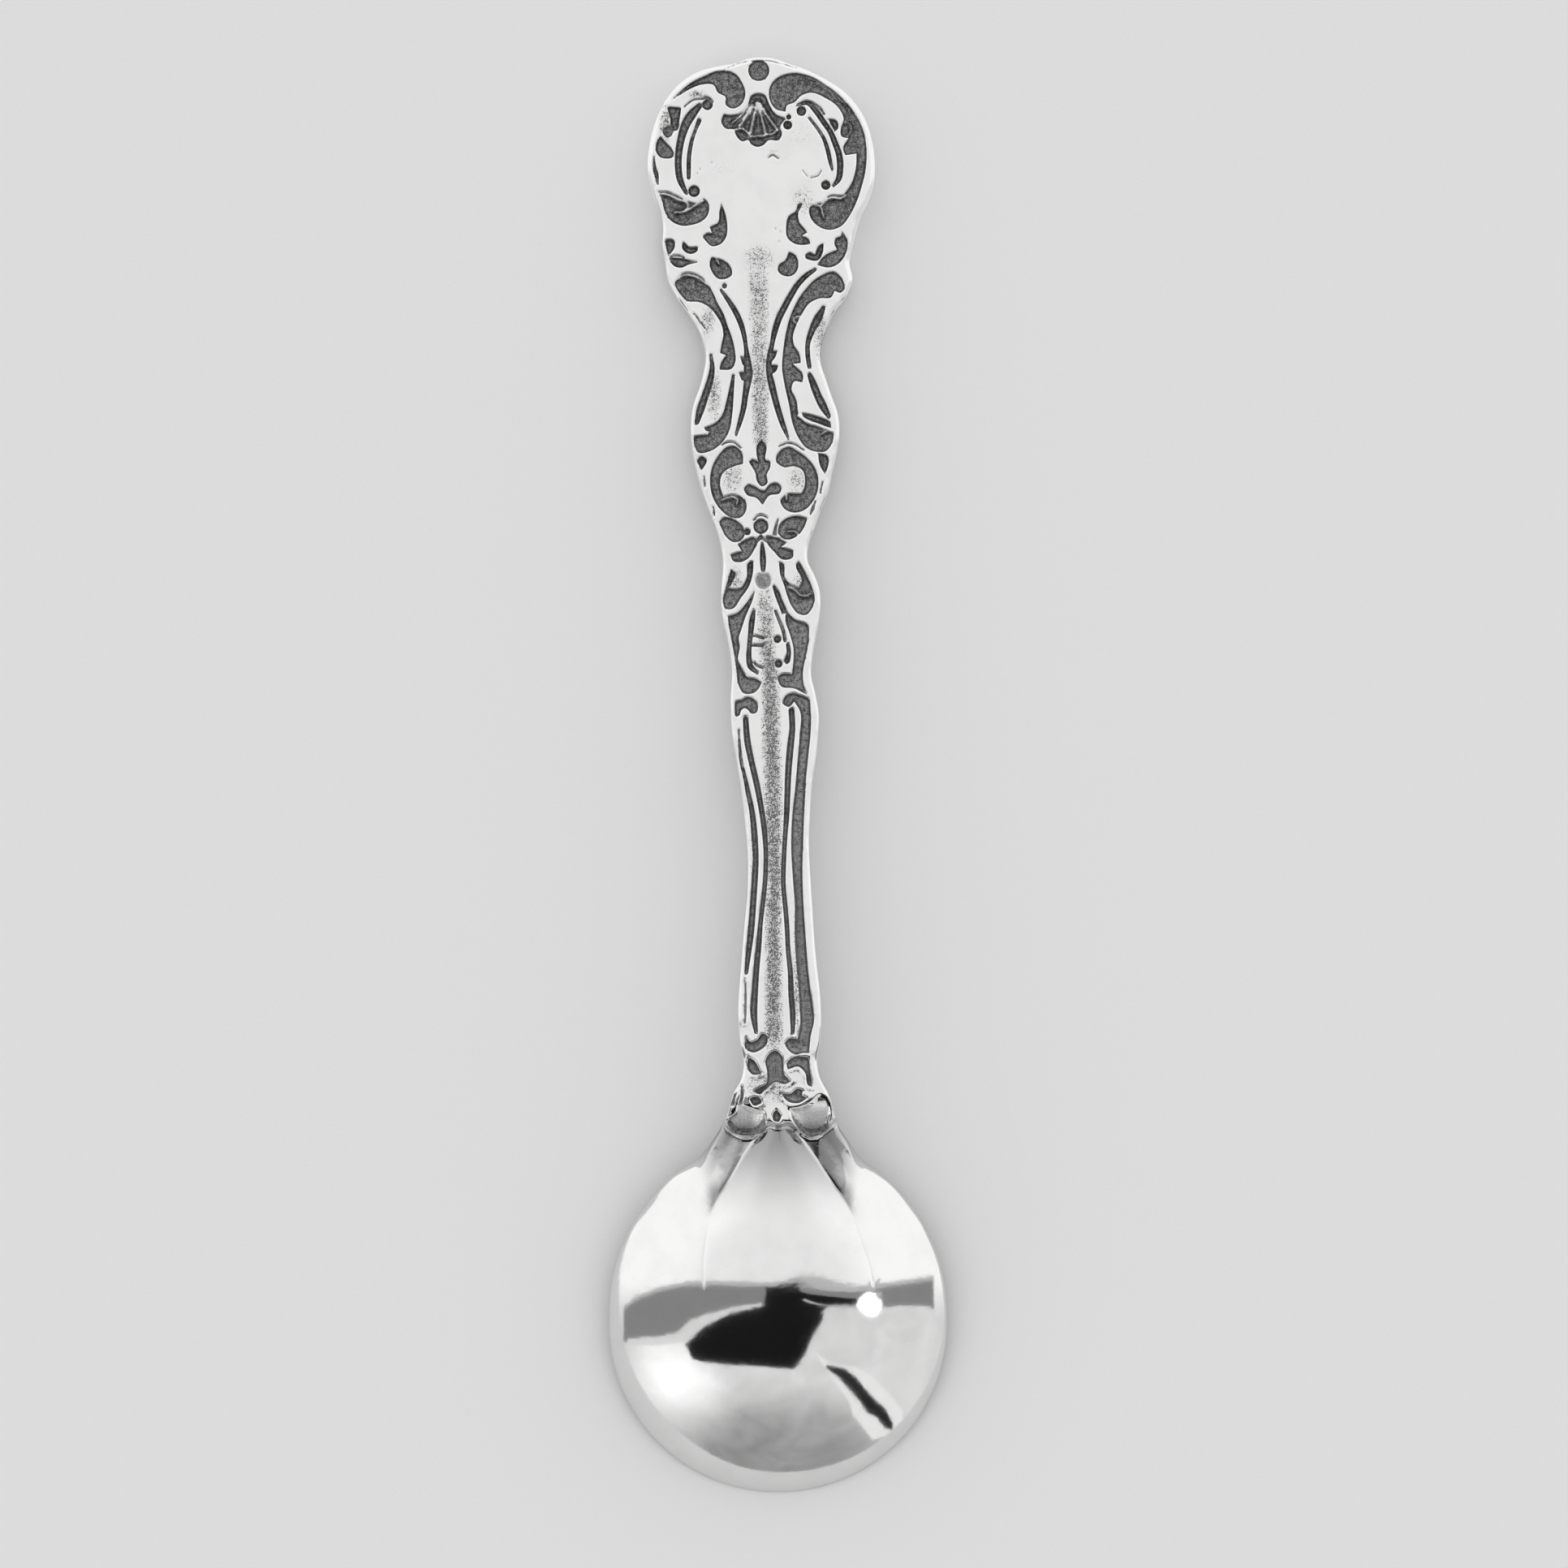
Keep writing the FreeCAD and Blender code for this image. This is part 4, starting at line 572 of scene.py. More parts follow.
# %% Sunk motifs of the neck: lobes and scoops
# The two scoops were buffed bright again, apart from a crescent along the lower edge.
SCOOP_STAIN = 0.17
NECK = [
    pocket((-0.5, 13.3), (-0.72, 13.38), (-0.95, 13.1), (-1.25, 13.0), (-1.45, 13.25),
           (-1.5, 12.75), (-1.15, 12.53), (-0.75, 12.68), (-0.5, 12.95)),
    pocket((-0.1, 12.6), (0.15, 12.42), (0.25, 12.0), (0.28, 11.55), (0.6, 11.2),
           (0.3, 11.08), (-0.1, 11.18), (-0.5, 10.9), (-0.85, 10.62), (-1.15, 10.78),
           (-0.5, 11.15), (-0.48, 11.6), (-0.55, 12.2), (-0.35, 12.5)),
    pocket((-1.35, 12.3), (-1.12, 12.18), (-0.85, 11.75), (-0.75, 11.55), (-1.15, 11.52),
           (-1.4, 11.85)),
    pocket((0.42, 12.05), (0.7, 12.3), (1.4, 12.3), (1.47, 11.7), (1.57, 10.95),
           (1.42, 11.0), (1.25, 11.6), (0.95, 11.88), (0.45, 11.75)),
    pocket((-1.3, 10.4), (-1.1, 10.5), (-0.8, 10.42), (-0.75, 10.2), (-1.1, 10.1)),
    pocket((0.15, 10.65), (0.55, 10.62), (0.9, 10.86), (1.15, 10.8), (1.1, 10.57),
           (1.35, 10.45), (0.95, 10.22), (0.45, 10.3)),
    pocket((-1.85, 10.25), (-1.4, 10.0), (-1.0, 9.85), (-0.65, 9.8), (-0.6, 9.4),
           (-0.65, 9.1), (-0.95, 8.8), (-1.3, 8.72), (-1.75, 8.75), (-2.05, 8.95),
           (-2.25, 9.25), (-2.2, 9.5), (-1.95, 9.7), depth=0.9, slope=(9.0, 10.3),
           stained=SCOOP_STAIN),
    pocket((0.55, 9.95), (1.0, 9.95), (1.5, 10.2), (1.9, 10.6), (2.3, 10.4), (2.4, 10.0),
           (2.35, 9.5), (2.25, 9.3), (2.2, 9.0), (1.9, 8.75), (1.6, 8.68), (1.3, 8.75),
           (1.0, 9.0), (0.75, 9.4), (0.6, 9.7), depth=0.9, slope=(9.0, 10.4),
           stained=SCOOP_STAIN),
    pocket((-2.28, 9.5), (-2.12, 9.32), (-1.95, 9.1), (-1.6, 9.02), (-1.2, 9.02),
           (-0.85, 9.2), (-0.64, 9.5), (-0.58, 9.4), (-0.63, 9.1), (-0.95, 8.78),
           (-1.3, 8.70), (-1.75, 8.73), (-2.07, 8.95), (-2.27, 9.25)),
    pocket((2.33, 9.45), (2.15, 9.2), (1.8, 9.02), (1.4, 9.0), (1.1, 9.15), (0.85, 9.42),
           (0.7, 9.65), (0.62, 9.6), (0.75, 9.35), (1.0, 8.98), (1.3, 8.73), (1.6, 8.66),
           (1.9, 8.73), (2.22, 9.0)),
    pocket((-0.05, 9.92), (0.15, 9.6), (0.05, 9.35), (-0.18, 9.4), (-0.2, 9.75)),
]
print(len(NECK), "motifs in the neck")

# %% Smaller cuts and signs of use
SMALL_CUTS = [
    groove((-4.25, 56.0, 0.03), (-3.9, 56.27, 0.05), (-3.5, 56.32, 0.05),
           (-3.2, 56.35, 0.06), (-3.03, 56.2, 0.06)),
    pocket((-5.3, 54.9), (-4.95, 55.1), (-4.82, 54.8), (-4.9, 54.6), (-5.1, 54.52),
           (-5.25, 54.65), depth=0.6),
    groove((-5.7, 53.6, 0.04), (-5.68, 53.2, 0.07), (-5.58, 52.8, 0.09), (-5.53, 52.4, 0.05)),
    groove((0.9, 56.03, 0.05), (1.3, 56.2, 0.05), (1.7, 56.05, 0.06), (2.0, 55.8, 0.06),
           (2.12, 55.6, 0.05)),
    dot(0.5, 55.47, 0.11),
    groove((-4.9, 49.05, 0.03), (-4.6, 49.1, 0.03), (-4.3, 49.0, 0.03)),
    dot(-2.45, 47.68, 0.12, depth=0.6),
    groove((-3.85, 46.4, 0.03), (-3.6, 46.1, 0.04), (-3.35, 45.75, 0.03)),
    pocket((-1.74, 44.46), (-1.6, 44.4), (-1.42, 44.1), (-1.62, 44.06)),
    pocket((-1.8, 43.7), (-1.6, 43.7), (-1.42, 43.4), (-1.65, 43.33)),
    pocket((-0.35, 44.6), (-0.02, 44.72), (-0.13, 44.4), (-0.35, 44.15)),
    pocket((-0.35, 44.05), (0.02, 44.02), (-0.1, 43.75), (-0.35, 43.6)),
    pocket((1.08, 41.85), (1.35, 41.8), (1.75, 41.7), (2.1, 41.58), (2.38, 41.45),
           (2.44, 41.15), (2.2, 41.24), (1.9, 41.34), (1.5, 41.5), (1.2, 41.64)),
    groove((-2.6, 40.35, 0.03), (-2.3, 40.5, 0.04), (-2.0, 40.48, 0.04), (-1.72, 40.26, 0.03)),
    groove((0.1, 40.33, 0.03), (0.45, 40.46, 0.04), (0.8, 40.38, 0.03), (1.15, 40.15, 0.03)),
    groove((-3.38, 38.9, 0.03), (-3.35, 38.5, 0.05)),
    groove((2.05, 38.65, 0.03), (1.95, 38.2, 0.04)),
    groove((1.72, 37.75, 0.03), (1.6, 37.45, 0.06), (1.5, 37.2, 0.04)),
    groove((-2.95, 37.5, 0.03), (-2.92, 37.2, 0.05)),
    groove((-1.08, 36.95, 0.03), (-0.95, 37.1, 0.04), (-0.75, 37.15, 0.05),
           (-0.5, 37.05, 0.04)),
    groove((0.0, 36.9, 0.04), (-0.1, 36.6, 0.06), (-0.15, 36.3, 0.08)),
    dot(-1.4, 36.38, 0.15),
    groove((-1.1, 31.62, 0.05), (-0.65, 31.5, 0.06)),
    groove((-1.25, 31.17, 0.05), (-0.7, 31.15, 0.06)),
    groove((-1.1, 30.4, 0.05), (-0.95, 30.25, 0.06), (-0.72, 30.15, 0.06)),
    groove((-1.78, 27.3, 0.04), (-1.75, 26.5, 0.06), (-1.7, 26.0, 0.07), (-1.62, 25.5, 0.07)),
    groove((-1.5, 15.9, 0.03), (-1.47, 15.0, 0.05), (-1.48, 14.4, 0.05), (-1.5, 13.9, 0.03)),
    groove((-1.65, 10.95, 0.03), (-1.63, 10.6, 0.06), (-1.72, 10.2, 0.06)),
    groove((-1.95, 10.6, 0.03), (-2.05, 10.1, 0.05)),
]
# The two leaves at the knuckle meet in a small arch.
LEAF_JOIN = pocket((-0.98, 36.0), (-0.78, 36.28), (-0.55, 36.02), (-0.3, 35.85), (-0.55, 35.9),
                   (-0.76, 36.02), (-0.95, 35.85), depth=0.8)
# Nicks and pits that use has left, shallower than anything carved.
SIGNS_OF_USE = [
    groove((-2.5, 57.66, 0.02), (-1.7, 57.98, 0.03), (-1.0, 58.08, 0.03), (-0.4, 58.06, 0.03),
           (0.3, 57.9, 0.03), (1.0, 57.7, 0.02), depth=0.5),
    groove((1.15, 52.98, 0.03), (1.35, 52.75, 0.04), depth=0.4),
    groove((1.55, 52.68, 0.03), (1.85, 52.78, 0.04), (2.0, 53.0, 0.03), depth=0.5),
    groove((-0.42, 53.62, 0.05), (-0.25, 53.72, 0.06), (0.0, 53.58, 0.06), depth=0.5),
    groove((-0.3, 53.85, 0.03), (0.1, 53.84, 0.02), (0.8, 53.6, 0.02), depth=0.25),
    dot(-3.05, 53.35, 0.05, depth=0.4), dot(-3.7, 52.85, 0.04, depth=0.4),
    dot(-3.58, 53.05, 0.04, depth=0.4), dot(-0.1, 50.3, 0.06, depth=0.3),
    dot(0.12, 50.15, 0.05, depth=0.3), dot(0.05, 49.7, 0.05, depth=0.3),
    dot(1.0, 51.85, 0.10, depth=0.2), dot(-3.7, 56.55, 0.08, depth=0.5),
    dot(-3.85, 56.45, 0.06, depth=0.4),
]
print(len(SMALL_CUTS), "smaller cuts and", len(SIGNS_OF_USE), "signs of use")

# %% [markdown]
# ## Ridges inside the sunk fields
#
# Some fields are not empty: a rib of the fan, a fold of a leaf or the rolled end of a
# scroll stands up from the floor.  These are raised strokes with the same kind of spine.

# %% Raised strokes, as (x, reach, half width) points
def ridge(*spine, height=0.9):
    """A raised stroke that stands height (a share of the depth) over the floor."""
    line = flowing(spine, closed=False)
    return {"line": line[:, :2], "half": line[:, 2], "height": height}


FAN_RIBS = [
    ridge((-0.93, 56.15, 0.10), (-1.12, 55.4, 0.07), (-1.30, 54.62, 0.08)),
    ridge((-0.90, 56.15, 0.10), (-0.74, 55.4, 0.06), (-0.55, 54.65, 0.07)),
    ridge((-1.2, 55.95, 0.10), (-1.45, 55.5, 0.11), (-1.75, 55.08, 0.08)),
    ridge((-0.75, 55.95, 0.07), (-0.4, 55.4, 0.06), (-0.02, 54.88, 0.05)),
    ridge((-1.38, 55.95, 0.04), (-1.75, 55.5, 0.04), (-2.1, 55.2, 0.04)),
    ridge((-2.0, 54.88, 0.04), (-1.62, 54.93, 0.05), (-1.35, 54.72, 0.04)),
    ridge((-1.25, 54.55, 0.04), (-0.95, 54.6, 0.05), (-0.6, 54.6, 0.04)),
    ridge((-0.5, 54.65, 0.04), (-0.2, 54.72, 0.05), (-0.05, 54.88, 0.04)),
]
SCROLL_RIDGES = [
    ridge((1.6, 51.45, 0.04), (1.95, 51.35, 0.05), (2.05, 51.05, 0.05), (2.1, 50.85, 0.04)),
    ridge((2.0, 51.4, 0.05), (2.2, 51.65, 0.06), (2.5, 51.75, 0.06), (2.9, 51.72, 0.06),
          (3.1, 51.85, 0.06)),
    ridge((-5.45, 51.95, 0.05), (-5.0, 51.87, 0.06), (-4.6, 51.67, 0.07),
          (-4.15, 51.47, 0.06), (-4.15, 51.3, 0.04), (-4.35, 51.12, 0.05),
          (-4.75, 51.08, 0.04)),
    ridge((-3.45, 51.62, 0.05), (-3.8, 51.4, 0.05), (-4.15, 51.18, 0.05),
          (-4.4, 51.08, 0.04)),
    ridge((-2.85, 48.95, 0.03), (-2.7, 48.7, 0.04)),
    ridge((-4.75, 47.9, 0.05), (-4.4, 48.16, 0.05), (-3.9, 48.15, 0.05),
          (-3.5, 47.95, 0.05), (-3.1, 47.65, 0.04)),
    ridge((-3.85, 40.95, 0.05), (-3.4, 41.0, 0.05), (-3.15, 40.95, 0.04)),
    ridge((1.0, 46.3, 0.04), (0.8, 46.25, 0.05), (0.72, 46.1, 0.05), (0.8, 46.0, 0.04)),
    ridge((2.5, 41.02, 0.04), (2.2, 41.0, 0.05), (2.0, 40.88, 0.04)),
    ridge((-2.55, 37.85, 0.04), (-2.3, 37.95, 0.05), (-2.05, 37.97, 0.05),
          (-1.85, 37.85, 0.05), (-1.9, 37.65, 0.04)),
    ridge((0.45, 38.2, 0.04), (0.38, 38.0, 0.05), (0.4, 37.85, 0.04)),
    ridge((0.5, 36.4, 0.03), (0.8, 36.4, 0.03), (0.95, 36.2, 0.03)),
    ridge((0.95, 41.72, 0.05), (1.43, 41.42, 0.07), (2.0, 41.23, 0.07), (2.5, 41.0, 0.05),
          height=1.1),
    ridge((1.0, 57.3, 0.03), (2.3, 56.72, 0.04), (3.1, 55.75, 0.03), height=0.35),
    ridge((2.95, 55.35, 0.04), (3.3, 55.12, 0.05), (3.36, 54.8, 0.04), (3.15, 54.58, 0.03),
          height=0.6),
    ridge((0.5, 33.85, 0.05), (0.8, 33.7, 0.05), (1.0, 33.5, 0.05), (1.3, 33.45, 0.05),
          (1.5, 33.55, 0.04)),
]
RIDGES = FAN_RIBS + SCROLL_RIDGES
MOTIFS = (BROAD_END + WAIST + BELT + KNUCKLE + STEM + NECK + SMALL_CUTS + [LEAF_JOIN]
          + SIGNS_OF_USE)
print(len(MOTIFS), "sunk motifs and", len(RIDGES), "ridges")

# %% [markdown]
# ## How deep each place is
#
# For every place the distance to the nearest motif edge is found, counted negative
# inside.  Turning that distance into depth with a soft step gives each field steep walls
# and a level floor, and lets a thin line stay shallow, as a real cut does.

# %% Distances to the motifs
def to_segments(spots, line, closed):
    """Distance of each spot to each segment of a line, and how far along it is met."""
    a = line if closed else line[:-1]
    b = np.roll(line, -1, axis=0) if closed else line[1:]
    run = b - a
    off = spots[:, None, :] - a[None]
    share = np.clip((off * run).sum(2) / np.maximum((run**2).sum(1), 1e-12), 0, 1)
    away = np.hypot(off[..., 0] - share * run[:, 0], off[..., 1] - share * run[:, 1])
    return away, share


def inside(spots, line):
    """Whether each spot is inside a closed line, by counting crossings."""
    a, b = line, np.roll(line, -1, axis=0)
    x, y = spots[:, :1], spots[:, 1:]
    spans = (a[:, 1] > y) != (b[:, 1] > y)
    rise = np.where(b[:, 1] == a[:, 1], 1e-12, b[:, 1] - a[:, 1])
    cross = a[:, 0] + (y - a[:, 1]) * (b[:, 0] - a[:, 0]) / rise
    return (spans & (x < cross)).sum(1) % 2 == 1


def edge_distance(spots, motif):
    """Distance of each spot to the motif's edge, negative inside it."""
    away, share = to_segments(spots, motif["line"], motif["half"] is None)
    if motif["half"] is None:
        return np.where(inside(spots, motif["line"]), -1, 1) * away.min(1) - CUT_SPREAD
    half = motif["half"]
    return (away - (half[:-1] + share * (half[1:] - half[:-1]))).min(1) - CUT_SPREAD


print("from the middle of a dot to its edge:",
      edge_distance(np.zeros((1, 2)), dot(0.0, 0.0, 0.1)).round(2))

# %% Depth, oxide and distance to the nearest wall
WALL_SIGHT = 0.5
RIDGE_SIGHT, RIDGE_SIDE = 0.2, 0.05
SLOPE_LOSS = 0.85


def near(spots, motif, margin):
    """Which spots lie in the motif's own rectangle, with a margin round it."""
    margin = margin + (0 if motif["half"] is None else motif["half"].max())
    low, high = motif["line"].min(0) - margin, motif["line"].max(0) + margin
    return np.flatnonzero(((spots > low) & (spots < high)).all(1))


def uncarved(count):
    """Depth, oxide and wall distance of places that no motif reaches."""
    return np.zeros(count), np.zeros(count), np.full(count, WALL_SIGHT)


def carving(spots):
    """Share of the full depth and of the oxide, and the distance to the nearest lip."""
    sunk, stain, lip = uncarved(len(spots))
    for motif in MOTIFS:
        here = near(spots, motif, WALL_SIGHT)
        if len(here) == 0:
            continue
        distance = edge_distance(spots[here], motif)
        depth = motif["depth"] * ease(0, WALL_RUN, -distance)
        if motif["slope"]:
            deep, out = motif["slope"]
            depth *= 1 - SLOPE_LOSS * ease(deep, out, spots[here, 1])
        sunk[here] = np.maximum(sunk[here], depth)
        lip[here] = np.minimum(lip[here], distance)
        stain[here] = np.maximum(stain[here], depth * motif["stained"])
    for stroke in RIDGES:
        here = near(spots, stroke, RIDGE_SIGHT)
        within = ease(-RIDGE_SIDE, RIDGE_SIDE, -edge_distance(spots[here], stroke))
        rise = stroke["height"] * within
        sunk[here] = np.minimum(sunk[here], 1 - rise)
        stain[here] = np.minimum(stain[here], 1 - rise)
    return sunk, stain, lip


sample = np.array([(-0.88, 57.62), (0.0, 52.0)])
print("depth in a bead and on the plain field:", carving(sample)[0])

# %% [markdown]
# ## Uneven metal
#
# Hand finishing leaves the smooth parts very slightly wavy, and the floors of the sunk
# fields keep the grain of the mould.  Both come from value noise: random heights on a
# lattice, eased from one to the next, always from the same seed.

# %% Value noise
LATTICE = 256


def waves(spots, size, seed):
    """Random heights from -1 to 1 that change over about the given size."""
    table = np.random.default_rng(seed).uniform(-1, 1, (LATTICE + 1, LATTICE + 1))
    place = np.asarray(spots) / size + 40
    cell = np.floor(place).astype(int)
    t = place - cell
    t = t * t * (3 - 2 * t)
    i, j = cell[:, 0] % LATTICE, cell[:, 1] % LATTICE
    low = table[i, j] + (table[i + 1, j] - table[i, j]) * t[:, 0]
    high = table[i, j + 1] + (table[i + 1, j + 1] - table[i, j + 1]) * t[:, 0]
    return low + (high - low) * t[:, 1]


print("noise at one place:", waves([(0.3, 20.0)], 1.0, 3))

# %% [markdown]
# ## The whole upper skin
#
# Above the lip the skin is the carved handle, and below it the bowl's back.  Near the
# outline the skin rolls over in a small round, wider on the handle than on the thin rim,
# so that no edge is sharper than a polished one.

# %% Where the carved handle ends, and how the edge is rounded
LIP_EDGE = [
    (2.65, 9.4), (2.25, 9.0), (1.6, 8.6), (1.0, 8.85), (0.45, 9.2), (0.0, 9.1), (-0.4, 9.2),
    (-0.85, 8.8), (-1.5, 8.6), (-2.15, 8.9), (-2.5, 9.3),
]
lip_line = flowing(LIP_EDGE, closed=False)
beyond = np.array([(-8.0, 9.6), (-8.0, 70.0), (8.0, 70.0), (8.0, 9.6)])
carved_part = {"line": np.concatenate([lip_line, beyond]), "half": None}
ROLL = [(6.6, 0.10), (7.6, 0.24), (8.8, 0.26), (9.6, 0.18), (12.0, 0.2), (30.0, 0.2),
        (45.0, 0.26), (58.0, 0.28)]
SLICE, SLICE_SIGHT, BATCH = 1.5, 2.5, 2000


def rolled(inward, radius):
    """Drop of a rounded edge at a distance inward from it."""
    return radius - np.sqrt(np.maximum(radius**2 - np.maximum(radius - inward, 0)**2, 0))


def outline_distance(spots):
    """Distance inward from the outline, found in slices along the spoon."""
    found = np.zeros(len(spots))
    for low in np.arange(-8.0, 59.0, SLICE):
        here = np.flatnonzero((spots[:, 1] >= low) & (spots[:, 1] < low + SLICE))
        close = np.abs(fine_outline[:, 1] - low - SLICE / 2) < SLICE_SIGHT
        rim = fine_outline[close]
        for part in np.array_split(here, max(1, len(here) // BATCH)):
            if len(part):
                away = np.hypot(spots[part, :1] - rim[:, 0], spots[part, 1:] - rim[:, 1])
                found[part] = away.min(1)
    return found


print("drop of the edge at the tip:", rolled(np.array([0.0, 0.1, 0.3]), 0.28).round(3))

# %% Height of the upper skin
LIP_DROP, LOBE_DROP = 0.30, 0.45
SLOW_WAVE, QUICK_WAVE = 0.012, 0.006
WALL_BURR, BURR_WIDTH = 0.014, 0.05
FLOOR_GRAIN, GRAIN_SIZE = 0.018, 0.11


def upper_skin(spots, inward):
    """Heights of the upper skin, with the oxide and the wall distance at each spot."""
    x, at = spots.T
    sunk, stain, lip = uncarved(len(spots))
    carved = np.flatnonzero(at > 8.3)
    sunk[carved], stain[carved], lip[carved] = carving(spots[carved])
    height = bowl_back(x, at)
    close = np.flatnonzero(at > 8.0)
    past_lip = ease(-0.06, 0.16, -edge_distance(spots[close], carved_part))
    handle = handle_back(x[close], at[close])
    handle -= LIP_DROP * (1 - ease(8.7, 9.4, at[close]))
    handle -= (LOBE_DROP * ease(0.4, 1.3, np.abs(x[close] - 0.05))
               * (1 - ease(8.6, 10.6, at[close])))
    handle += (SLOW_WAVE * waves(spots[close], 0.9, 1)
               + QUICK_WAVE * waves(spots[close], 0.35, 2))
    handle += WALL_BURR * np.exp(-((lip[close] - BURR_WIDTH) / BURR_WIDTH)**2)
    handle -= CARVING_DEPTH * sunk[close]
    grain = waves(spots[close], GRAIN_SIZE, 3)
    handle += FLOOR_GRAIN * ease(0.5, 0.9, stain[close]) * grain
    height[close] += (handle - height[close]) * past_lip
    return height - rolled(inward, blend(ROLL, at)), stain, lip


print("lip height:", upper_skin(np.array([(1.5, 9.0), (1.5, 8.4)]), np.array([1.0, 1.0]))[0])

# %% [markdown]
# ## Points for the mesh
#
# A plain grid would turn every wall into a staircase.  Here rows of points run along the
# lips and the feet of the walls, more rows follow the rolled outline, and a hexagonal
# grid fills the rest.  A sieve keeps the first point in any spot, so the rows that
# matter most go in first.

# %% A sieve for points
class Sieve:
    """Keeps points that are not too near to one that it already has."""

    def __init__(self, cell=0.1):
        self.cell = cell
        self.taken = {}
        self.points = []

    def add(self, points, gap):
        """Adds the points in order; a gap of 0 keeps all of them."""
        for x, y in np.asarray(points).tolist():
            i, j = int(x // self.cell), int(y // self.cell)
            if gap and self.crowded(x, y, i, j, gap):
                continue
            self.taken.setdefault((i, j), []).append((x, y))
            self.points.append((x, y))

    def crowded(self, x, y, i, j, gap):
        """Whether a kept point is nearer than the gap."""
        reach = 1 + int(gap // self.cell)
        for a in range(i - reach, i + reach + 1):
            for b in range(j - reach, j + reach + 1):
                for u, v in self.taken.get((a, b), ()):
                    if (u - x)**2 + (v - y)**2 < gap * gap:
                        return True
        return False


trial = Sieve()
trial.add([(0.0, 0.0), (0.01, 0.0), (0.2, 0.0)], 0.1)
print("of three points, two of them close together, it keeps", len(trial.points))

# %% Rows beside a line, and a grid to fill the rest
def sideways(line, closed=True):
    """Unit vectors square to a line."""
    run = np.roll(line, -1, axis=0) - np.roll(line, 1, axis=0)
    if not closed:
        run[0], run[-1] = line[1] - line[0], line[-1] - line[-2]
    run /= np.maximum(np.linalg.norm(run, axis=1, keepdims=True), 1e-9)
    return np.stack([-run[:, 1], run[:, 0]], axis=1)


def offset_rows(shape, distance):
    """Rows of points at a distance from a motif's edge, on both of its sides."""
    line, half = shape["line"], shape["half"]
    square = sideways(line, closed=half is None)
    spread = distance + CUT_SPREAD
    out = spread if half is None else (half + spread)[:, None]
    return [line + square * out * hand for hand in (-1, 1)]


def hexagons(x0, x1, y0, y1, step):
    """Grid of points on a hexagonal pattern."""
    grid = []
    for i, y in enumerate(np.arange(y0, y1, step * 0.866)):
        xs = np.arange(x0 + (i % 2) * step / 2, x1, step)
        grid.append(np.stack([xs, np.full(len(xs), y)], axis=1))
    return np.concatenate(grid)


def keep_inside(points, clearance):
    """Those of the points that lie inside the outline, clear of it."""
    points = points[np.concatenate([inside(part, outline)
                                    for part in np.array_split(points, 1 + len(points) // 3000)])]
    return points[outline_distance(points) > clearance]


rim_square = sideways(outline)
print(len(hexagons(0, 1, 0, 1, 0.1)), "points of the grid in a square millimetre")

# %% Gather the points of the upper skin
ROLL_ROWS = (0.018, 0.05, 0.095, 0.15, 0.21, 0.28)
WALL_ROWS = (0.0, -WALL_RUN, -WALL_RUN / 2, 0.06)
HANDLE_STEP, BOWL_STEP = 0.095, 0.19
sieve = Sieve()
sieve.add(outline, 0)
for distance in ROLL_ROWS:
    row = outline + rim_square * distance
    row = row[outline_distance(row) > distance * 0.93]
    sieve.add(row[inside(row, outline)], 0.015 if distance < 0.03 else 0.028)
for level in WALL_ROWS:
    for motif in MOTIFS:
        spots = np.concatenate(offset_rows(motif, level))
        spots = spots[np.abs(carving(spots)[2] - level) < 0.02]
        sieve.add(keep_inside(spots, 0.04), 0.045)
for stroke in RIDGES:
    sieve.add(stroke["line"], 0.04)
    for distance in (0.0, 0.09):
        for row in offset_rows(stroke, distance):
            sieve.add(row, 0.045)
lip_square = sideways(lip_line, closed=False)
for off in (0.0, 0.05, -0.07):
    sieve.add(keep_inside(lip_line + lip_square * off, 0.04), 0.05)
seam_at = np.arange(1.2, 8.6, 0.10)
for side in (-1, 1):
    for off in (0.0, -SEAM_WIDTH, SEAM_WIDTH, -0.12, 0.12):
        edge_x = sweep(TONGUE_MIDDLE, seam_at) + side * (sweep(TONGUE_HALF, seam_at) + off)
        sieve.add(np.stack([edge_x, seam_at], axis=1), 0.045)
sieve.add(keep_inside(hexagons(-6.1, 4.6, 8.4, 58.3, HANDLE_STEP), 0.06), 0.066)
sieve.add(keep_inside(hexagons(-7.9, 7.9, -7.9, 8.5, BOWL_STEP), 0.10), 0.13)
upper = np.array(sieve.points)
print(len(upper), "points on the upper skin")

# %% [markdown]
# ## Triangles
#
# A constrained Delaunay triangulation joins the points into even triangles and keeps the
# outline as it is.  The upper skin is lifted to its heights afterwards.

# %% Triangulate the upper skin
def triangles_of(points, edge_count):
    """Even triangles over the points, the first edge_count of which are the outline."""
    loop = [(i, (i + 1) % edge_count) for i in range(edge_count)]
    made = delaunay_2d_cdt([tuple(p) for p in points], loop, [], 1, 1e-6)
    return np.array(made[0]), [tuple(face) for face in made[2]]


upper, upper_faces = triangles_of(upper, len(outline))
inward = outline_distance(upper)
inward[:len(outline)] = 0
upper_height, stain, lip = upper_skin(upper, inward)
print(len(upper_faces), "triangles above, heights up to", round(float(upper_height.max()), 3))

# %% [markdown]
# ## The side towards the table
#
# This side isn't seen in the photograph, so it is finished as such spoons are: a plain
# front to the handle with softened edges, and a smooth polished hollow in the bowl with
# a narrow flat rim.

# %% Height of the lower skin
UNDER_ROLL = [(-8.0, 0.06), (7.5, 0.08), (10.0, 0.22), (58.0, 0.22)]
MOUTH_ROUND, MOUTH_NICK = 0.05, 0.012
UNDER_STEP = 0.27


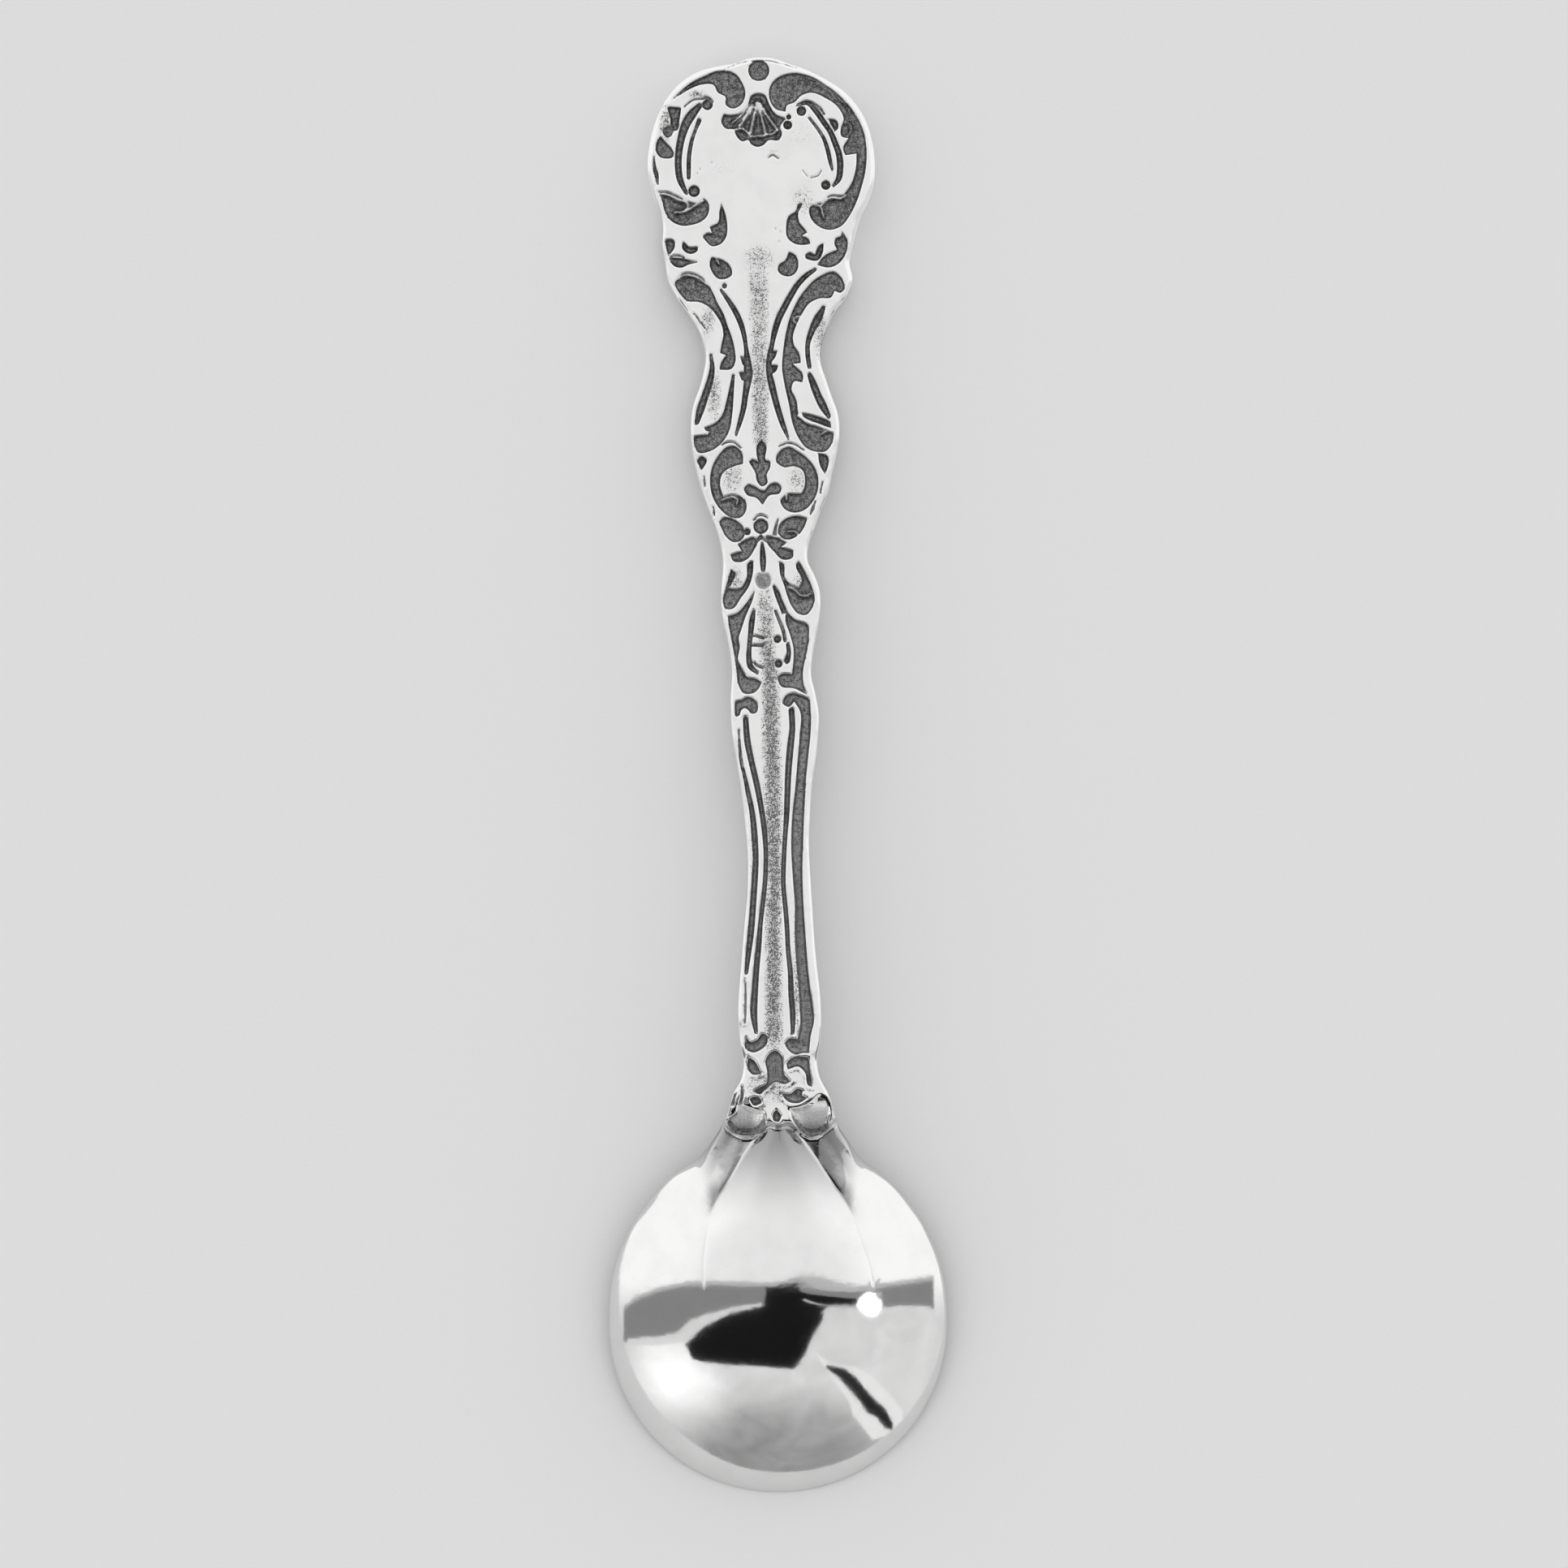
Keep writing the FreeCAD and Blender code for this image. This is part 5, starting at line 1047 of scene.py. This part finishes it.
def lower_skin(spots, inward):
    """Heights of the front of the handle and the hollow of the bowl."""
    x, at = spots.T
    hollow = cap(x, at, HOLLOW_RADIUS, HOLLOW_SINK)
    plain = front(x, at) + rolled(inward, blend(UNDER_ROLL, at))
    from_mouth = np.hypot(x, at * math.cos(TILT)) - MOUTH_RADIUS
    hollow = np.where(from_mouth < 0.1, hollow, plain - 1)
    return soft_max(hollow, plain, MOUTH_ROUND) - MOUTH_NICK * (np.abs(from_mouth) < MOUTH_ROUND)


print("the hollow is at", round(float(lower_skin(np.array([(0.0, 0.0)]), np.ones(1))[0]), 2), "mm")

# %% Points and triangles of the lower skin
turns = np.linspace(0, 2 * math.pi, 241)[:-1]
circle = np.stack([np.cos(turns), np.sin(turns) / math.cos(TILT)], axis=1)
under = Sieve(0.2)
under.add(outline, 0)
for distance in (0.03, 0.09, 0.2):
    row = outline + rim_square * distance
    row = row[outline_distance(row) > distance * 0.9]
    under.add(row[inside(row, outline)], 0.03)
for radius in (MOUTH_RADIUS, MOUTH_RADIUS - 0.06, MOUTH_RADIUS + 0.06):
    under.add(circle * radius, 0.04)
under.add(keep_inside(hexagons(-7.9, 7.9, -7.9, 58.3, UNDER_STEP), 0.12), 0.16)
lower, lower_faces = triangles_of(np.array(under.points), len(outline))
lower_inward = outline_distance(lower)
lower_inward[:len(outline)] = 0
lower_height = np.maximum(lower_skin(lower, lower_inward), 0)
print(len(lower_faces), "triangles below")

# %% [markdown]
# ## One closed skin
#
# The two skins share the outline, and a band of quads between their edges closes them.
# Four numbers are kept with every vertex for the finish: how much oxide it holds, how far
# it is from a wall, how grainy the metal is left, a share that also paints a dark
# reflection, and how much grey is painted on it as a dim reflection of the tent.

# %% Where the metal is grainy, with a painted dark reflection along the middle
GRAIN_AND_REFLECTION_LINE = [(9.0, -0.10), (13.5, -0.2), (19.0, -0.2), (20.5, -0.15), (22.0, -0.2), (23.5, -0.2),
              (25.0, -0.25), (27.0, -0.3), (30.0, -0.35), (31.0, -0.5), (33.0, -0.6),
              (41.0, -0.8), (48.5, -0.9)]
GRAIN_AND_REFLECTION_HALF = [(9.0, 0.1), (13.0, 0.34), (20.0, 0.30), (26.0, 0.36), (33.5, 0.30), (41.0, 0.30),
              (48.5, 0.40)]
GRAIN_AND_REFLECTION_AMOUNT = [(12.5, 0.0), (13.5, 1.0), (30.5, 1.0), (33.0, 0.6), (34.0, 0.0), (40.0, 0.0),
                (41.0, 0.8), (43.5, 0.7), (45.0, 0.45), (47.5, 0.7), (48.9, 0.0)]

# Speckled places, as (x, reach, half width, half length, amount).
SPECKLED = [
    (-3.2, 46.1, 0.22, 0.5, 0.7), (-2.95, 42.7, 0.22, 0.9, 0.8), (1.95, 45.4, 0.2, 0.9, 0.6),
    (-2.1, 38.9, 0.35, 0.5, 0.5), (0.85, 38.75, 0.3, 0.4, 0.5), (-3.7, 56.5, 0.3, 0.15, 0.7),
    (-5.15, 55.2, 0.22, 0.6, 0.8), (-0.9, 48.9, 0.5, 0.5, 0.5), (1.1, 33.9, 0.3, 0.5, 0.6),
    (-1.95, 34.1, 0.25, 0.5, 0.6), (0.9, 17.0, 0.12, 3.0, 0.8), (-0.4, 11.0, 0.7, 0.5, 0.6),
    (-1.5, 9.0, 0.6, 0.15, 0.35), (1.6, 9.0, 0.6, 0.15, 0.35), (1.0, 54.7, 0.8, 0.9, 0.07),
    (1.2, 51.6, 0.6, 0.7, 0.16), (-2.6, 53.2, 0.9, 0.7, 0.06),
]


def grain_and_reflection_share(spots):
    """How rough the metal is left, along the middle of the handle and in places; the same
    share greys it, partly as a painted reflection of the dark camera opening.
    """
    x, at = spots.T
    away = np.abs(x - blend(GRAIN_AND_REFLECTION_LINE, at)) / blend(GRAIN_AND_REFLECTION_HALF, at)
    left = blend(GRAIN_AND_REFLECTION_AMOUNT, at) * (1 - ease(0.3, 1.5, away))
    for mx, ms, wide, long, amount in SPECKLED:
        left = np.maximum(left, amount * np.exp(-((x - mx) / wide)**2 - ((at - ms) / long)**2))
    return left


print("grain in the middle of the stem:", grain_and_reflection_share(np.array([(-0.2, 20.0)])))

# %% Where a dim reflection is painted
FLUTE_REFLECTION, TONGUE_REFLECTION = 0.7, 0.75
FLUTE_FOOT, FLUTE_SPLAY = 5.2, 0.68


def painted_reflection(spots):
    """Grey painted under the neck and in the flutes as a dim reflection of the tent."""
    x, at = spots.T
    off = np.abs(x - sweep(TONGUE_MIDDLE, at)) - sweep(TONGUE_HALF, at)
    width = np.maximum((at - FLUTE_FOOT) * FLUTE_SPLAY, 0.15)
    shaded = ease(6.1, 6.9, at) * (1 - ease(0.8, 1.3, off))
    flute = FLUTE_REFLECTION * ease(4.9, 5.7, at) * (1 - ease(0.5, 1.4, off / width)) * (1 - shaded)
    keel = TONGUE_REFLECTION * ease(4.6, 9.0, at)
    painted_grey = keel + (flute - keel) * ease(-0.08, 0.08, off)
    return painted_grey * (1 - ease(8.9, 9.3, at))


print("film on the tongue at the neck:", painted_reflection(np.array([(0.0, 8.5)])).round(2))

# %% Join the skins
def band(edge_count, second_start, edge_rows):
    """Quads between loops of edge_count vertices that start at the given indices."""
    quads = []
    loops = [0, *edge_rows, second_start]
    for a, b in zip(loops, loops[1:]):
        for i in range(edge_count):
            j = (i + 1) % edge_count
            quads.append((a + i, b + i, b + j, a + j))
    return quads


count = len(outline)
top_edge, foot_edge = upper_height[:count], lower_height[:count]
foot_edge = np.minimum(foot_edge, top_edge - 0.02)
lower_height[:count] = foot_edge
BAND_SHARES = (0.33, 0.67)
middles = [top_edge + (foot_edge - top_edge) * share for share in BAND_SHARES]
spots = np.concatenate([upper, lower, outline, outline])
heights = np.concatenate([upper_height, lower_height, *middles])
below = len(upper)
rows = [below + len(lower), below + len(lower) + count]
faces = list(upper_faces)
faces += [(a + below, c + below, b + below) for a, b, c in lower_faces]
faces += band(count, below, rows)
vertices = np.column_stack([spots[:, 0], spots[:, 1] - MIDDLE, heights]) * MM
mesh = bpy.data.meshes.new("salt_spoon_silver")
mesh.from_pydata(vertices.tolist(), [], faces)
mesh.validate()
mesh.update()
mesh.shade_smooth()
marks = {"oxide": stain, "from_wall": np.clip(-lip - WALL_RUN, 0, 1),
         "grain_and_reflection": grain_and_reflection_share(upper), "painted_reflection": painted_reflection(upper)}
unmarked = np.zeros(len(spots) - len(upper))
for name, values in marks.items():
    every = np.concatenate([values, unmarked]).astype(np.float32)
    mesh.attributes.new(name, "FLOAT", "POINT").data.foreach_set("value", every)
spoon = bpy.data.objects.new("salt_spoon_silver", mesh)
bpy.context.scene.collection.objects.link(spoon)
print(f"{len(mesh.polygons)} faces on one skin of {len(mesh.vertices)} vertices")

# %% [markdown]
# ## Writing materials as sums
#
# Node trees are easier to read as arithmetic.  A Wire stands for one output socket, and
# adding, multiplying or taking away Wires lays down the Math nodes.  Any other node comes
# from Finish.node, which sets the node's own settings first and its inputs afterwards.

# %% A small language for shader nodes
class Wire:
    """One output socket that can be used in sums."""

    def __init__(self, finish, socket):
        self.finish = finish
        self.socket = socket

    def math(self, operation, *values):
        """A Math node on this wire and the values."""
        return self.finish.node("ShaderNodeMath", {"operation": operation},
                                dict(enumerate((self, *values))))

    def __add__(self, other):
        return self.math("ADD", other)

    __radd__ = __add__

    def __mul__(self, other):
        return self.math("MULTIPLY", other)

    __rmul__ = __mul__

    def __sub__(self, other):
        return self.math("SUBTRACT", other)

    def __rsub__(self, other):
        return (self * -1).math("ADD", other)

    def step(self, low, high):
        """0 below low, 1 above high and a soft step between."""
        return self.finish.node("ShaderNodeMapRange", {"interpolation_type": "SMOOTHSTEP"},
                                {"Value": self, "From Min": low, "From Max": high})


class Finish:
    """A node tree that is being written."""

    def __init__(self, owner):
        owner.use_nodes = True
        self.tree = owner.node_tree
        self.tree.nodes.clear()

    def node(self, kind, settings=None, inputs=None, output=0):
        """Makes a node, sets it up, then fills its inputs with values or wires."""
        made = self.tree.nodes.new(kind)
        for name, value in (settings or {}).items():
            setattr(made, name, value)
        for name, value in (inputs or {}).items():
            if isinstance(value, Wire):
                self.tree.links.new(value.socket, made.inputs[name])
            else:
                made.inputs[name].default_value = value
        return Wire(self, made.outputs[output]) if len(made.outputs) else made

    def mark(self, name):
        """A number that is kept with the mesh."""
        return self.node("ShaderNodeAttribute", {"attribute_name": name}, output="Fac")

    def place(self, scale):
        """Position on the object, in the given number of units to the metre."""
        where = self.node("ShaderNodeTexCoord", output="Object")
        return self.node("ShaderNodeVectorMath", {"operation": "SCALE"},
                         {0: where, "Scale": scale})

    def noise(self, scale, detail=2.0, roughness=0.5):
        """Noise whose spots come about scale times in a millimetre."""
        return self.node("ShaderNodeTexNoise", None,
                         {"Vector": self.place(1000.0), "Scale": scale, "Detail": detail,
                          "Roughness": roughness})

    def reach(self):
        """Millimetres along the spoon from the middle of the bowl."""
        apart = self.node("ShaderNodeSeparateXYZ", None, {0: self.place(1000.0)}, output=1)
        return apart + MIDDLE

    def mix(self, share, first, second):
        """One colour passing into another."""
        return self.node("ShaderNodeMix", {"data_type": "RGBA"},
                         {0: share, 6: first, 7: second}, output=2)


print("ready to write finishes")

# %% [markdown]
# ## Polished and oxidised silver
#
# The raised parts are buffed nearly to a mirror.  The sunk fields were darkened with an
# oxide bath and left so: greyer and grainy on the open floors and rubbed lighter towards
# the neck, while at the foot of the walls, where shade makes them almost black, the oxide
# is painted lighter as light against that shade.  Along the middle of the stem the buff
# never reached the casting skin, so it is mottled, and its grey is partly a painted
# reflection of the dark camera opening.  Grey is also painted under the neck and in the
# flutes as a dim reflection of the tent.  It could be painted by hand, but the marks kept
# with the mesh put every tone where the metal calls for it, so one material does it all.

# %% The silver
SILVER = (0.93, 0.93, 0.925, 1)
OXIDE_DARK = (0.075, 0.075, 0.077, 1)
# Lighter oxide for wear and random tone, also painted on the walls as light against their shade.
OXIDE_WORN_AND_LIT = (0.40, 0.40, 0.40, 1)
# Grey for the grainy metal, partly a painted reflection of the dark camera opening.
SILVER_HAZE_AND_REFLECTION = (0.45, 0.45, 0.45, 1)
# Grey painted under the neck and in the flutes as a dim reflection of the tent.
PAINTED_REFLECTION_GREY = (0.16, 0.16, 0.16, 1)
MIRROR_ROUGHNESS, OXIDE_ROUGHNESS = 0.075, 0.42
RUBBED_FROM, RUBBED_TO, RUBBED_LIGHTER = 48.0, 17.0, 0.26
RIPPLE_END, RIPPLE_HEIGHT = 9.5, 0.30
SPECK = (0.11, 0.11, 0.11, 1)


def make_silver():
    """Bright on top, oxidised in the recesses and grainy where the buff missed, with painted
    light on the walls and painted reflections on the tongue, flutes and stem.
    """
    material = bpy.data.materials.new("polished_silver_oxidised")
    silver = Finish(material)
    oxidised, from_wall, grain_and_reflection, painted_grey = (
        silver.mark(n) for n in ("oxide", "from_wall", "grain_and_reflection", "painted_reflection"))
    fine, medium = silver.noise(19.0, 2.0, 0.6), silver.noise(6.0, 2.0)
    broad = silver.noise(0.9, 3.0)
    dark = (oxidised + (fine - 0.5) * 0.25).step(0.04, 0.26)
    rubbed = silver.reach().step(RUBBED_FROM, RUBBED_TO) * RUBBED_LIGHTER
    # Oxide lighter towards the neck from wear and at random, and painted lighter on the walls as
    # light against the shade that falls on them.
    wear_and_painted_wall_light = (0.50 + rubbed - from_wall.step(0.02, 0.20) * 0.14 + (fine - 0.5) * 2.6
            + (medium - 0.5) * 1.5).step(0.0, 1.0)
    speck = (fine + (medium - 0.5) * 0.35 + grain_and_reflection * 0.155).step(0.585, 0.64)
    speck = speck * grain_and_reflection.step(0.02, 0.15)
    # Grey over grainy places and at random, partly a painted reflection of the camera opening.
    haze_and_painted_reflection = grain_and_reflection * 0.38 + broad.step(0.35, 0.75) * 0.09
    oxide = silver.mix(wear_and_painted_wall_light, OXIDE_DARK, OXIDE_WORN_AND_LIT)
    # Polished silver with painted reflections: grey on the tongue and in the flutes.
    buffed_and_painted_reflection = silver.mix(painted_grey, silver.mix(haze_and_painted_reflection, SILVER, SILVER_HAZE_AND_REFLECTION), PAINTED_REFLECTION_GREY)
    bright = silver.mix(speck * 0.9, buffed_and_painted_reflection, SPECK)
    colour = silver.mix(dark, bright, oxide)
    rough = MIRROR_ROUGHNESS + dark * OXIDE_ROUGHNESS + speck * 0.25 + haze_and_painted_reflection * 0.15
    on_bowl = 1 - silver.reach().step(RIPPLE_END - 2.0, RIPPLE_END)
    ripple = silver.noise(1.3, 2.5, 0.6) * on_bowl * RIPPLE_HEIGHT
    bump = silver.node("ShaderNodeBump", None,
                       {"Strength": 0.5, "Distance": 0.00002,
                        "Height": (fine + medium) * (dark * 0.9 + grain_and_reflection * 0.4 + 0.02) + ripple})
    skin = silver.node("ShaderNodeBsdfPrincipled", None,
                       {"Base Color": colour, "Metallic": 1.0, "Roughness": rough,
                        "Normal": bump})
    silver.node("ShaderNodeOutputMaterial", None, {"Surface": skin})
    return material


mesh.materials.append(make_silver())
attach(spoon, "root")
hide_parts("salt_spoon")
print("silver on", spoon.name)

# %% [markdown]
# ## The table and the light tent
#
# Polished silver shows what is around it, so the light is part of its look.  The spoon
# was photographed in a white tent: bright from behind, greyer towards the front and low
# down, with an opening over the bowl for the camera.  The world is the tent, since lamps
# would show as hard spots in the bowl.

# %% Plain materials and flat cards
def plain_material(name, colour, strength=None):
    """A matt colour, or a plain glow where a strength is given."""
    material = bpy.data.materials.new(name)
    plain = Finish(material)
    if strength is None:
        skin = plain.node("ShaderNodeBsdfDiffuse", None, {"Color": colour, "Roughness": 0.5})
    else:
        skin = plain.node("ShaderNodeEmission", None, {"Color": colour, "Strength": strength})
    plain.node("ShaderNodeOutputMaterial", None, {"Surface": skin})
    return material


def card(name, corners, material):
    """A flat piece of the studio with corners in millimetres."""
    sheet = bpy.data.meshes.new(name)
    sheet.from_pydata([[c * MM for c in corner] for corner in corners], [],
                      [tuple(range(len(corners)))])
    made = bpy.data.objects.new(name, sheet)
    sheet.materials.append(material)
    bpy.context.scene.collection.objects.link(made)
    return made


def only_reflected(made):
    """Hides a card from everything but reflections."""
    made.visible_camera = made.visible_diffuse = made.visible_shadow = False
    made.visible_transmission = made.visible_volume_scatter = False


print("ready: plain_material, card and only_reflected")

# %% The table
FLOOR_GREY = (0.90, 0.90, 0.90, 1)
TABLE_HALF, TABLE_LEVEL = 900, -0.01
table_white = plain_material("table_white", FLOOR_GREY)
floor = card("table_top", [(x * TABLE_HALF, y * TABLE_HALF, TABLE_LEVEL)
                           for x, y in ((-1, -1), (1, -1), (1, 1), (-1, 1))], table_white)
floor.visible_glossy = False
near_turns = np.radians(np.arange(0, 360, 15))
NEAR_TABLE = [(0, 15.5), (60, 40), (120, 60), (180, 60), (225, 40), (250, 20), (270, 17),
              (300, 14), (330, 13.5), (360, 15.5)]
# The table as the bowl shows it is greyer than the table itself: painted shade near the spoon.
near_table = card("near_table", [
    (blend(NEAR_TABLE, math.degrees(a)) * math.cos(a),
     blend(NEAR_TABLE, math.degrees(a)) * math.sin(a) - MIDDLE, TABLE_LEVEL / 2)
    for a in near_turns],
    plain_material("table_reflected_painted_shade", (0.76, 0.76, 0.76, 1)))
only_reflected(near_table)
print("a table of", len(near_turns), "corners shows along the rim of the bowl")

# %% [markdown]
# ## What the bowl mirrors
#
# The bowl shows the opening for the camera, gaps in the tent, a slit in the cloth and a
# lamp.  Guessing where such things hang would take many tries.  It is easier to choose
# where they show in the bowl and to follow the reflected ray outward from there.  The
# strips hang where those rays meet a box round the spoon, and only reflections see them.

# %% Where the bowl sees the tent
CEILING, SIDE_WALL = 70.0, 150.0
BOWL_LEVEL = 4.0


def seen_in_bowl(x, at, size):
    """Points of the tent, a box of the given size, that the bowl shows at (x, reach)."""
    step = 0.03
    rise = np.stack([bowl_back(x + step, at) - bowl_back(x - step, at),
                     bowl_back(x, at + step) - bowl_back(x, at - step)]) / (2 * step)
    length = np.sqrt(1 + (rise**2).sum(0))
    nx, ny, nz = -rise[0] / length, -rise[1] / length, 1 / length
    ray = np.stack([2 * nz * nx, 2 * nz * ny, 2 * nz * nz - 1])
    run = np.minimum((CEILING * size - BOWL_LEVEL) / np.maximum(ray[2], 0.001),
                     SIDE_WALL * size / np.maximum(np.hypot(ray[0], ray[1]), 0.01))
    start = np.stack([x, at - MIDDLE, np.full(len(x), BOWL_LEVEL)], axis=1)
    return start + (ray * run).T


def hanging(name, upper, lower, material, size, columns=60):
    """A strip of the tent, between two edges as they show in the bowl."""
    across = np.linspace(max(upper[0][0], lower[0][0]), min(upper[-1][0], lower[-1][0]), columns)
    rows = [blend(lower, across) + share * (blend(upper, across) - blend(lower, across))
            for share in np.linspace(0, 1, 5)]
    points = np.concatenate([seen_in_bowl(across, row, size) for row in rows]) * MM
    sheet = bpy.data.meshes.new(name)
    sheet.from_pydata(points.tolist(), [],
                      [(i, i + 1, columns + i + 1, columns + i)
                       for i in range(4 * columns) if (i + 1) % columns])
    made = bpy.data.objects.new(name, sheet)
    sheet.materials.append(material)
    bpy.context.scene.collection.objects.link(made)
    only_reflected(made)


def glow(name, strength):
    """A grey that gives the same tone whatever the light."""
    return plain_material(name, (strength, strength, strength, 1), 1.0)


print("the top of the bowl sees", seen_in_bowl(np.zeros(1), np.full(1, 1.0), 1.0).round()[0])

# %% Gaps, opening, cloth, slit and lamp
DIM_TOP = [(-7.2, 0.35), (-6.6, 0.85), (-5.4, 1.35), (-4.2, 1.62), (-3.0, 1.68), (-0.6, 1.62),
           (1.0, 1.60), (3.6, 1.42), (4.7, 1.5), (7.3, 1.75)]
DIM_LOW = [(-7.2, -1.15), (-6.9, -1.1), (-5.4, -0.9), (-4.54, -0.69), (-4.1, -0.18), (-3.3, 0.13),
           (-2.2, 0.55), (-0.7, 0.8), (1.2, 0.8), (3.7, 0.5), (5.3, 0.63), (6.7, 0.6), (7.3, 0.4)]
hanging("dim_gap", DIM_TOP, DIM_LOW, glow("dim_room", 0.23), 0.60)
hanging("dim_gap_fringe", [(x, at + 0.22) for x, at in DIM_TOP], DIM_TOP,
        glow("dim_fringe", 0.48), 0.60)
hanging("camera_opening",
        [(-4.28, -1.07), (-3.33, -0.2), (-2.12, 0.4), (-0.73, 0.75), (-0.57, 0.8), (-0.55, 1.6),
         (1.0, 1.6), (1.05, 1.45), (3.6, 1.15), (3.95, 0.9)],
        [(-4.28, -1.07), (-3.94, -1.76), (-3.33, -1.88), (-1.6, -1.97), (0.13, -2.07),
         (0.74, -2.14), (1.17, -1.59), (1.43, -0.89), (1.9, -0.1), (2.21, 0.15), (3.95, 0.6)],
        glow("dark_room", 0.006), 0.57, 120)
hanging("cloth_edge",
        [(-7.0, -0.95), (-5.4, -0.75), (-4.54, -0.5), (-4.1, 0.02), (-3.33, 0.3), (-2.12, 0.66),
         (-0.73, 0.9)],
        [(-7.0, -1.3), (-5.4, -1.15), (-4.54, -1.0), (-4.1, -0.85), (-3.33, -0.18),
         (-2.12, 0.42), (-0.73, 0.78)], glow("cloth_white", 0.72), 0.55)
hanging("cloth_thread", [(1.15, 1.2), (1.6, 1.05), (2.3, 0.82), (3.7, 0.76)],
        [(1.15, 1.12), (1.6, 0.95), (2.3, 0.72), (3.7, 0.66)], glow("cloth_line", 0.62), 0.54)
hanging("slit_edge",
        [(1.69, -1.41), (2.4, -1.85), (3.6, -2.11), (4.38, -2.63), (5.33, -3.67), (5.76, -4.3)],
        [(1.69, -1.41), (2.2, -2.2), (2.73, -2.97), (3.25, -3.67), (3.42, -4.36), (4.38, -5.66),
         (5.76, -5.2)], glow("slit_white", 0.84), 0.57, 90)
hanging("slit", [(2.2, -1.95), (3.08, -2.15), (3.6, -2.6), (4.12, -3.26), (4.64, -3.85),
                 (4.95, -4.1), (5.32, -4.9)],
        [(2.2, -2.1), (2.9, -2.68), (3.6, -3.52), (4.12, -4.28), (4.6, -4.6), (4.95, -5.08),
         (5.32, -5.25)], glow("slit_dark", 0.004), 0.45, 90)
LAMP_X, LAMP_RADIUS = 4.25, 0.59
lamp_x = np.linspace(LAMP_X - LAMP_RADIUS, LAMP_X + LAMP_RADIUS, 25)
lamp_half = np.sqrt(np.maximum(LAMP_RADIUS**2 - (lamp_x - LAMP_X)**2, 0))
hanging("lamp", [(x, 0.80 + h) for x, h in zip(lamp_x, lamp_half)],
        [(x, 0.74 - h) for x, h in zip(lamp_x, lamp_half)], glow("lamp_white", 1.6), 0.5)

# %% [markdown]
# ## The tent's own light
#
# The cloth is brightest behind the handle, has a soft glow low on the left and falls off
# towards the front.  A picture of a tent could do this, but a few soft steps over the
# direction are easier to change, so the world's brightness is written as a sum.

# %% The world
TENT_GREY, TENT_FRONT_LOSS = 0.73, 0.39
TENT_BEHIND, TENT_LOW_GAIN = 0.84, 0.16
SIDE_GLOW, FOLDS = 0.42, 0.30
world = bpy.data.worlds.new("light_tent")
bpy.context.scene.world = world
tent = Finish(world)
direction = tent.node("ShaderNodeTexCoord", output="Generated")
parts = tent.node("ShaderNodeSeparateXYZ", None, {0: direction})
x_way, y_way, z_way = (Wire(tent, parts.socket.node.outputs[i]) for i in range(3))
behind = y_way.step(-0.12, 0.10)
front_low = (y_way * -1.0).step(0.55, 1.0)
glow_off = tent.node("ShaderNodeVectorMath", {"operation": "DISTANCE"},
                     {0: direction, 1: (-0.74, -0.56, 0.36)}, output="Value")
side_glow = (glow_off * -1.0).step(-0.60, -0.05)
folds = tent.node("ShaderNodeTexNoise", None, {"Vector": direction, "Scale": 2.2, "Detail": 2.0,
                                               "Distortion": 1.5}, output=0)
low_down = z_way.step(0.95, 0.5)
brightness = ((TENT_GREY - front_low * TENT_FRONT_LOSS) * (1 - behind)
              + behind * (TENT_BEHIND + low_down * TENT_LOW_GAIN)
              + side_glow * SIDE_GLOW + (folds - 0.54) * (1 - behind) * FOLDS)
lit = tent.node("ShaderNodeBackground", None, {"Color": (1, 1, 1, 1), "Strength": brightness})
tent.node("ShaderNodeOutputWorld", None, {"Surface": lit})
print("the tent is a sum of", len(world.node_tree.nodes), "nodes")

# %% [markdown]
# ## Camera
#
# The photograph looks straight down with a long lens, so the spoon hardly shows any
# perspective.  The frame is a square about 72 mm wide.

# %% Camera
FRAME_WIDTH, FRAME_LEVEL = 72.1, 1.2
FRAME_X, FRAME_Y = 0.28, -0.41
CAMERA_HEIGHT = 600.0
eye = bpy.data.cameras.new("camera_above")
eye.sensor_width = 36.0
eye.lens = 36.0 * CAMERA_HEIGHT / FRAME_WIDTH
eye.clip_end = 10.0
camera = bpy.data.objects.new("camera_above", eye)
camera.location = (FRAME_X * MM, FRAME_Y * MM, (CAMERA_HEIGHT + FRAME_LEVEL) * MM)
bpy.context.scene.collection.objects.link(camera)
bpy.context.scene.camera = camera
bpy.context.scene.view_settings.view_transform = "Standard"
print("lens of", round(eye.lens), "mm")
